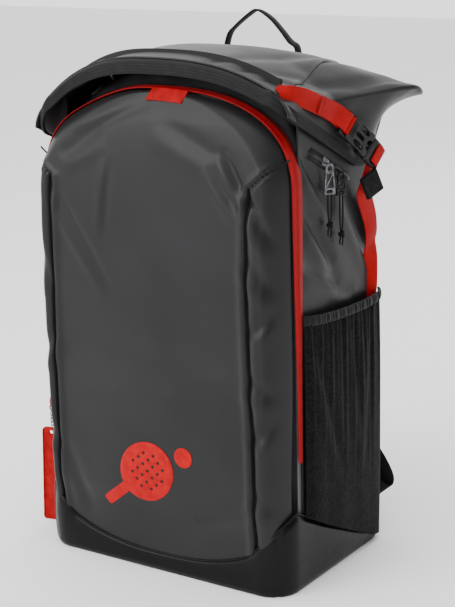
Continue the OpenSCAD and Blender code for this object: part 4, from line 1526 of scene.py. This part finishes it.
def inflate(obj, cap, voxel=4.0, pressure=4.0):
    """Swell a pad with a short cloth simulation, with no point moving more than cap millimetres."""
    remesh = obj.modifiers.new("Remesh", "REMESH")
    remesh.mode, remesh.voxel_size = "VOXEL", voxel * MM
    baked(obj)
    count = len(obj.data.vertices)
    rest = np.zeros(count * 3)
    obj.data.vertices.foreach_get("co", rest)
    cloth = obj.modifiers.new("Cloth", "CLOTH")
    cloth.settings.quality = 5
    cloth.settings.use_pressure = True
    cloth.settings.uniform_pressure_force = pressure
    cloth.settings.effector_weights.gravity = 0
    cloth.settings.tension_stiffness = cloth.settings.compression_stiffness = 12
    cloth.point_cache.frame_start, cloth.point_cache.frame_end = 1, 20
    scene = bpy.context.scene
    for step in range(1, 21):
        scene.frame_set(step)
    baked(obj)
    scene.frame_set(1)
    moved = np.zeros(count * 3)
    obj.data.vertices.foreach_get("co", moved)
    rest, moved = rest.reshape(-1, 3), moved.reshape(-1, 3)
    step = moved - rest
    size = np.linalg.norm(step, axis=1, keepdims=True)
    moved = rest + step * np.minimum(1, cap * MM / np.maximum(size, 1e-9))
    obj.data.vertices.foreach_set("co", moved.ravel())
    fine = obj.modifiers.new("Subdivision", "SUBSURF")
    fine.levels = fine.render_levels = 1
    return baked(obj)


def reshape(obj, change):
    """Move every point of a mesh with change(x, y, z), in millimetres."""
    co = np.zeros(len(obj.data.vertices) * 3)
    obj.data.vertices.foreach_get("co", co)
    x, y, z = (co.reshape(-1, 3) / MM).T
    obj.data.vertices.foreach_set("co", (np.stack(change(x, y, z), 1) * MM).ravel())
    obj.data.update()


PAD_X = 72                                # a back pad stands this far from the middle
PAD_SEAMS = (158, 250, 342)               # heights of the seams sewn across each pad


def build_back_pads():
    """The two spacer mesh pads on the back, with their piping and seams."""
    for side, label in SIDES:
        outline = rounded_outline(side * PAD_X - 45, side * PAD_X + 45, 68, 432, 24, 10)
        outline = resample(np.array([(x, 0, z) for x, z in outline + outline[:1]]), 160)[:-1][:, [0, 2]]
        pad = slab(f"back_pad_skin_{label}", outline, lambda x, z: 105.4, 6.4, SPACER)
        inflate(pad, 4.5)

        def channels(x, y, z):
            """Draw in the seams and keep the pad within its bounds."""
            face = smooth((y - 103) / 4)
            groove = sum(bell(z - at, 3.4) for at in PAD_SEAMS)
            flute = 0.5 * np.sin((x - side * PAD_X) / 6.5) * smooth((44 - np.abs(x - side * PAD_X)) / 8)
            return x, np.clip(y - face * 3.4 * groove + face * flute, 100.5, 111.4), z
        reshape(pad, channels)
        dress(pad, "spacer_mesh", f"back_pad_{label}")
        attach(pad, "bag")
        rim = rounded_outline(side * PAD_X - 46.5, side * PAD_X + 46.5, 66.5, 433.5, 25, 10)
        edge = [(x, 103.0, z) for x, z in rim]
        piping = tube(f"back_pad_piping_{label}", edge, 1.5, HEM, "bag", 8, closed=True)
        for at in PAD_SEAMS:
            line = np.array([(side * PAD_X - 42, 107.9, at), (side * PAD_X + 42, 107.9, at)])
            stitches(f"back_pad_stitch_{label}_{at}", resample(line, 40), (0, 1, 0), THREAD, "bag",
                             3.4, 2.4, 0.28)


STRAP_X = 74                              # a shoulder strap stands this far from the middle
STRAP_TOP, STRAP_FOOT = 466, 174          # heights of the ends of its pad


def strap_mid(z):
    """y of a shoulder strap's inner face at height z."""
    return 115 + 30 * np.sin(np.pi * np.clip((470 - z) / 300, 0, 1))


def shoulder_pad(side, label, body):
    """The padded strap, sewn into a piping all round."""
    shape = []
    for t in np.linspace(0, 1, 60):
        z = STRAP_TOP - (STRAP_TOP - STRAP_FOOT) * t
        half = 27.5 - 8 * t**2 - 6 * smooth((t - 0.93) / 0.07) - 5 * smooth((0.05 - t) / 0.05)
        shape.append((half, z))
    outline = [(side * STRAP_X + w, z) for w, z in shape]
    outline += [(side * STRAP_X - w, z) for w, z in shape[::-1]]
    outline = resample(np.array([(x, 0, z) for x, z in outline + outline[:1]]), 180)[:-1][:, [0, 2]]
    pad = slab(f"shoulder_skin_{label}", outline, lambda x, z: float(strap_mid(z)) + 5.5, 6.6, SPACER)
    inflate(pad, 5.0)

    def channels(x, y, z):
        """Draw in the seams and keep the pad within its bounds."""
        # the padding is sewn into the piping, so its edge is drawn back out to it
        off = y - (strap_mid(z) + 5.5)
        z = STRAP_FOOT + (z - z.min()) / (z.max() - z.min()) * (STRAP_TOP - STRAP_FOOT)
        have = np.zeros(74)
        np.maximum.at(have, np.clip((z - STRAP_FOOT) // 4, 0, 73).astype(int), np.abs(x - side * STRAP_X))
        have = np.interp(z, 176 + 4 * np.arange(74), have)
        want = np.interp(-z, [-at for _, at in shape], [w for w, _ in shape])
        x = side * STRAP_X + (x - side * STRAP_X) * np.clip(want / np.maximum(have, 1), 0.9, 2.0)
        d = np.abs(x - side * STRAP_X)
        half = 27.5 - 8 * np.clip((STRAP_TOP - z) / (STRAP_TOP - STRAP_FOOT), 0, 1) ** 2
        dip = 1.5 * bell(d - (half - 7.5), 2.6)
        return x, strap_mid(z) + 5.5 + np.clip(off, -5.6, 5.6) - np.sign(off) * dip, z
    reshape(pad, channels)
    dress(pad, "padding", f"shoulder_pad_{label}")
    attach(pad, body)
    rim = [(side * STRAP_X + w - 1.2, float(strap_mid(z)) + 5.5, float(np.clip(z, 175.6, 464.4)))
           for w, z in shape]
    rim += [(side * STRAP_X - w + 1.2, float(strap_mid(z)) + 5.5, float(np.clip(z, 175.6, 464.4)))
            for w, z in shape[::-1]]
    piping = tube(f"shoulder_piping_{label}", curve_through(rim[::3], 260, True)[:-1], 1.6, HEM, body, 8,
                  closed=True)


def shoulder_webbing(side, label, body):
    """The webbing sewn down the outer face of the strap, and its three keepers."""
    z = np.linspace(452, 176, 90)
    line = np.stack([np.full_like(z, side * STRAP_X), strap_mid(z) + 11.2, z], 1)
    band = ribbon(f"shoulder_webbing_{label}", line, (1, 0, 0), 24, 1.4, BLACK_WEB, body)
    for off in (-9.6, 9.6):
        s = stitches(f"shoulder_stitch_{label}_{'a' if off > 0 else 'b'}", line + [off, 0.8, 0], (0, 1, 0),
                     THREAD, body, 3.4, 2.4, 0.28)
    for k, at in enumerate((400, 320, 240)):
        y = float(strap_mid(at)) + 13.2
        path = np.array([(side * STRAP_X + off, y + lift, at)
                         for off, lift in ((-14, -0.4), (0, 0.6), (14, -0.4))])
        keeper = ribbon(f"shoulder_keeper_{label}_{k}", path, (0, 0, 1), 12, 1.2, BLACK_WEB, body, 12)


def lock_turn(side, label, body):
    """The webbing turns round the lock's top bar and back under the pad."""
    turn = curve_through(sided([(74, 128.0, 178), (74, 126.6, 172.6), (74, 124.6, 168), (74, 122.4, 164.4),
                                (74, 119.4, 163.2), (74, 116.6, 165), (74, 115.8, 169), (74, 117.2, 174),
                                (74, 119.4, 180)], side), 40)
    loop = ribbon(f"lock_loop_{label}", turn, (1, 0, 0), 24, 1.4, BLACK_WEB, body)


def strap_root(side, label):
    """The root of the strap, folding out of the yoke."""
    root = curve_through(sided([(74, 104.6, 446), (74, 105.2, 468), (74, 110.5, 479), (74, 118.5, 476),
                                (74, 121.5, 464)], side), 40)
    fold = ribbon(f"strap_root_{label}", root, (1, 0, 0), 46, 2.2, SKIN)
    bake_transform(fold)


def ladder_lock(label, body):
    """The ladder lock at the foot of the pad."""
    low, high = box_mm(f"ladder_lock_{label}")
    mid, half = (low + high) / 2, (high - low) / 2
    w, h = half[0], half[2]
    rim = rounded_outline(-w, w, -h, h, 3.5)
    slots = [rounded_outline(-w + 3.4, w - 3.4, -h + 3.0, -2.4, 1.3),
             rounded_outline(-w + 3.4, w - 3.4, 1.6, h - 3.2, 1.3)]
    place = axes((1, 0, 0), (0, 0, -1), (0, 1, 0), mid)
    parts = [outline_plate("l1", [rim, *slots], 4.0, 1.3, PLASTIC, place),
             outline_plate("l2", [rounded_outline(-w + 1, w - 1, -2.6, 1.8, 1.6)], 5.6, 1.4, PLASTIC,
                           place), outline_plate("l3", [rounded_outline(-w * 0.62, w * 0.62, h - 4.4, h,
                                   1.6)], 5.6, 1.4, PLASTIC, place)]
    lock = join(parts, f"ladder_lock_body_{label}", body)
    dress(lock, "black_plastic", f"ladder_lock_{label}")


def lower_strap(side, label, body):
    """The adjusting webbing from the lock down to the base corner, and its free tail."""
    path = sided([(74, 118.4, 162), (77, 116.6, 150), (92, 116.4, 132), (118, 117.6, 104),
                  (138, 119, 78), (149, 119.5, 58), (151.5, 117, 48), (149, 112, 45),
                  (143, 107, 50), (134, 104.6, 62)], side)
    lean = np.array([(1, 0, 0), (0.9, 0.1, 0.3), (0.72, 0.1, 0.68), (0.72, 0.15, 0.66),
                     (0.76, 0.1, 0.62)]) * [1, 1, side]
    strap = ribbon(f"strap_band_{label}", curve_through(path, 90), lean, 24, 1.5, BLACK_WEB)
    dress(strap, "black_webbing", f"strap_webbing_{label}")
    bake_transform(strap)
    path = sided([(74, 122.4, 163), (76, 124.4, 152), (78, 123.6, 138), (80, 121.4, 112),
                  (81, 120.4, 88), (81, 120.6, 76)], side)
    tail = ribbon(f"strap_tail_{label}", curve_through(path, 50), (1, 0, 0), 24, 1.5, BLACK_WEB, body)
    hem = ribbon(f"strap_tail_hem_{label}", sided([(81, 121.9, 90), (81, 122.0, 76)], side), (1, 0, 0), 24,
                 1.4, BLACK_WEB, body, 10)


def anchor_patch(side, label):
    """The sewn triangle at the base corner, fixed to the bag."""
    grid_z, grid_t = np.meshgrid(np.linspace(40, 108, 24), np.linspace(0, 1, 10), indexing="ij")
    outer = np.interp(grid_z, [40, 84, 108], [143, 137, 124.5])
    p = np.stack([side * (122.5 + (outer - 122.5) * grid_t), 102.6 + 1.0 * np.sin(math.pi * grid_t),
                  grid_z], -1)
    tri = shell(f"anchor_patch_{label}", p, SKIN, "bag", 2.0, flip=side > 0)
    dress(tri, "coated_fabric", f"strap_anchor_{label}")


def build_shoulder_straps():
    """Both straps, each from its pad down to its anchor."""
    for side, label in SIDES:
        body = f"strap_{label}"
        shoulder_pad(side, label, body)
        shoulder_webbing(side, label, body)
        lock_turn(side, label, body)
        strap_root(side, label)
        ladder_lock(label, body)
        lower_strap(side, label, body)
        anchor_patch(side, label)


def build_back():
    """The back panel, the root of the flap, the yoke and the haul patch."""
    x, z = np.linspace(-129, 129, 90), np.linspace(7, 503, 150)
    zz, xx = np.meshgrid(z, x, indexing="ij")
    y = BACK_Y - 0.9 + 0.7 * waves(xx, zz, 41, 45) * smooth((128 - np.abs(xx)) / 12) + 1.2 * bell(xx,
            15) * smooth((440 - zz) / 60)
    back = shell("back_skin", np.stack([xx, np.minimum(y, 100.6), zz], -1), SKIN, "bag", 1.6, flip=True)
    dress(back, "coated_fabric", "back_panel")
    vv, xx = np.meshgrid(np.linspace(0, 1, 14), np.linspace(-134, 134, 80), indexing="ij")
    top = flap_point(xx / flap_half(BACK_Y), np.full_like(xx, BACK_Y))[..., 2] - 1.2
    p = np.stack([xx, 98.9 + 0.8 * np.sin(math.pi * vv) + 0.3 * waves(xx, vv * 20, 43, 20),
                  498 + (top - 498) * vv], -1)
    strip = shell("flap_root", p, SKIN, None, 1.2, flip=True)
    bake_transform(strip)
    place = axes((1, 0, 0), (0, 0, 1), (0, -1, 0), (0, 102.4, 466))
    yoke = outline_plate("yoke_skin", [rounded_outline(-124, 124, -22.5, 22.5, 10)], 3.4, 1.2, SKIN, place,
                         "bag")
    dress(yoke, "coated_fabric", "strap_yoke")
    edge = rounded_outline(-119, 119, -18, 18, 7)
    line = resample(np.array([(a, 104.2, 466 + b) for a, b in edge + edge[:1]]), 300)
    stitches("yoke_stitch", line, (0, 1, 0), THREAD, "bag", 3.6, 2.5, 0.28)
    place = axes((1, 0, 0), (0, 0, 1), (0, -1, 0), (0, 101.9, 496))
    patch = outline_plate("haul_patch", [rounded_outline(-56, 56, -7, 7, 3)], 2.6, 0.9, BLACK_WEB, place,
                          "bag")
    dress(patch, "black_webbing", "haul_anchor")
    for side in (-1, 1):
        box = [(side * 40, 491), (side * 53, 491), (side * 53, 501), (side * 40, 501), (side * 40, 491),
               (side * 53, 501)]
        line = resample(np.array([(a, 103.4, b) for a, b in box]), 60)
        stitches(f"haul_box_{'right' if side > 0 else 'left'}", line, (0, 1, 0), THREAD, "bag", 2.6,
                         1.9, 0.28)


# ---------------------------------------------------------------- collar and inner panels
def build_collar():
    """The closed top under the flap, with its folds."""
    x = HALF * np.sin(np.linspace(-1, 1, 150) * math.pi / 2)
    rows = []
    arch = np.interp(np.abs(x), *arch_top_line())
    for y, k in ((-60.5, 0.0), (-62.0, 0.10), (-62.5, 0.35), (-62.0, 0.7), (-59.5, 0.93)):
        top = collar_z(x, np.full_like(x, -66.0))
        rows.append(np.stack([x * 0.985, np.full_like(x, y),
                              np.minimum(arch + 1.0, top) * (1 - k) + top * k], -1))
    for y in np.linspace(-55, 96, 73):
        rows.append(np.stack([x * 0.985, np.full_like(x, y), collar_z(x, np.full_like(x, y))], -1))
    p = np.array(rows)
    yy, xx = p[..., 1], p[..., 0]
    fold = 2.6 * np.sin(yy / 7.5 + xx / 60 + 1.4 * np.sin(xx / 45)) + 1.6 * waves(xx, yy, 51, 20)
    p[..., 2] += fold * smooth((yy + 60) / 12) * smooth((94 - yy) / 10) - 2.6
    crumple = 1.8 * np.sin(xx / 6.5 + 0.9 * np.sin(p[..., 2] / 7)) + 1.5 * waves(xx * 2, p[..., 2] * 2, 53,
            18)
    p[..., 1] += crumple * smooth((p[..., 2] - np.minimum(arch, 505) - 3) / 8) * smooth((-54 - yy) / 6)
    collar = shell("collar", p, LINING, "bag", 1.2, flip=True)


def arch_top_line():
    """Half widths and heights along the top of the racket compartment, for interpolation."""
    z = np.concatenate([np.linspace(430, 505, 40), np.linspace(505.5, 510, 20)])
    half = np.array([float(arch_half(v)) for v in z])
    order = np.argsort(half)
    return half[order], z[order]


def collar_z(x, y):
    """Height of the closed top under the flap."""
    u = np.abs(x) / flap_half(y)
    edge = flap_edge(y) - 12
    z = edge + (flap_crest(y) - 12 - edge) * (1 - u**2.6)
    z = z - 22 * smooth((np.abs(x) - 132) / 20)
    return z + left_sag(x, y)


def build_racket_wall():
    """The wall of the racket compartment behind the zip."""
    line, _ = arch_line(-1.4, 8, 300)
    rows = []
    for y in np.linspace(-69.6, -52.5, 6):
        q = line.copy()
        q[:, 1] = y
        rows.append(q)
    wall = shell("racket_wall", np.stack(rows, 1), GREY, "bag", 1.2, flip=True)
    dress(wall, "coated_fabric", "racket_rim")


def build_divider():
    """The quilted panel between the racket compartment and the bag."""
    low, high = box_mm("divider_panel")
    xx, zz = np.meshgrid(np.linspace(-1, 1, 80), np.linspace(low[2] + 1, high[2] - 2, 120))
    half = np.minimum(high[0] - 1.5, [[float(arch_half(z)) - 3 for _ in range(80)] for z in zz[:, 0]])
    quilt = 0.7 * np.abs(np.sin((xx * half + zz) / 22)) ** 0.4 * np.abs(np.sin((xx * half
            - zz) / 22)) ** 0.4
    y = (low[1] + high[1]) / 2 - 1.2 - quilt * smooth((1 - np.abs(xx)) / 0.08)
    panel = shell("divider_skin", np.stack([xx * half, y, zz], -1), GREY, "bag", 2.2)
    dress(panel, "coated_fabric", "divider_panel")


def build_sleeve():
    """The laptop sleeve with its bound top edge."""
    low, high = box_mm("laptop_sleeve")
    xx, zz = np.meshgrid(np.linspace(low[0] + 1, high[0] - 1, 60), np.linspace(low[2] + 1, high[2] - 1, 90))
    y = low[1] + 1.2 + 0.8 * waves(xx, zz, 61, 40) - 1.0 * bell(zz - (high[2] - 8), 7)
    sleeve = shell("sleeve_skin", np.stack([xx, np.maximum(y, low[1] + 0.2), zz], -1), GREY, "bag", 2.4)
    dress(sleeve, "coated_fabric", "laptop_sleeve")
    edge = ribbon("sleeve_binding", np.array([(low[0] + 1, low[1] + 1.6, high[2] - 2),
                                              (0, low[1] + 1.6, high[2] - 2), (high[0] - 1, low[1] + 1.6,
                                                      high[2] - 2)]), (0, 0, 1), 12, 4.2, HEM, "bag", 20)


def build_floor():
    """The base panel, turned up a little at its edges."""
    floor_x, floor_y = np.meshgrid(np.linspace(-146, 146, 50), np.linspace(-98, 98, 40))
    low, _ = box_mm("base_panel")
    z = low[2] + 1.75 + 0 * floor_x
    k = smooth((np.maximum(np.abs(floor_x) - 128, 0) + np.maximum(np.abs(floor_y) - 80, 0)) / 34)
    base = shell("base_skin", np.stack([floor_x, floor_y, z + 1.4 * k], -1), BOOT, "bag", 1.5)
    dress(base, "boot_fabric", "base_panel")


def paint_nodes():
    """Materials for the stiff CAD parts that are shown as they are."""
    for name, material, finish in (("base_board", BOARD, "board"), ("back_frame_sheet", BOARD, "board")):
        node = nodes[name]
        node.data.materials.clear()
        node.data.materials.append(material)


def slump():
    """The top left of the racket compartment sags with the flap above it."""
    def sag(x, y, z):
        """Lower the points of the top left."""
        return x, y, z - 9 * smooth((-x - 20) / 90) * smooth((z - 395) / 60)

    for name in ("front_skin", "front_piping_shadow_line_left", "front_stitch_left", "zip_band_door", "zip_band_bag",
                 "zip_band_door_stitch", "zip_band_bag_stitch", "racket_wall", "collar"):
        reshape(bpy.data.objects[name], sag)


build_back()
build_back_pads()
build_shoulder_straps()
build_collar()
build_racket_wall()
build_divider()
build_sleeve()
build_floor()
paint_nodes()
slump()
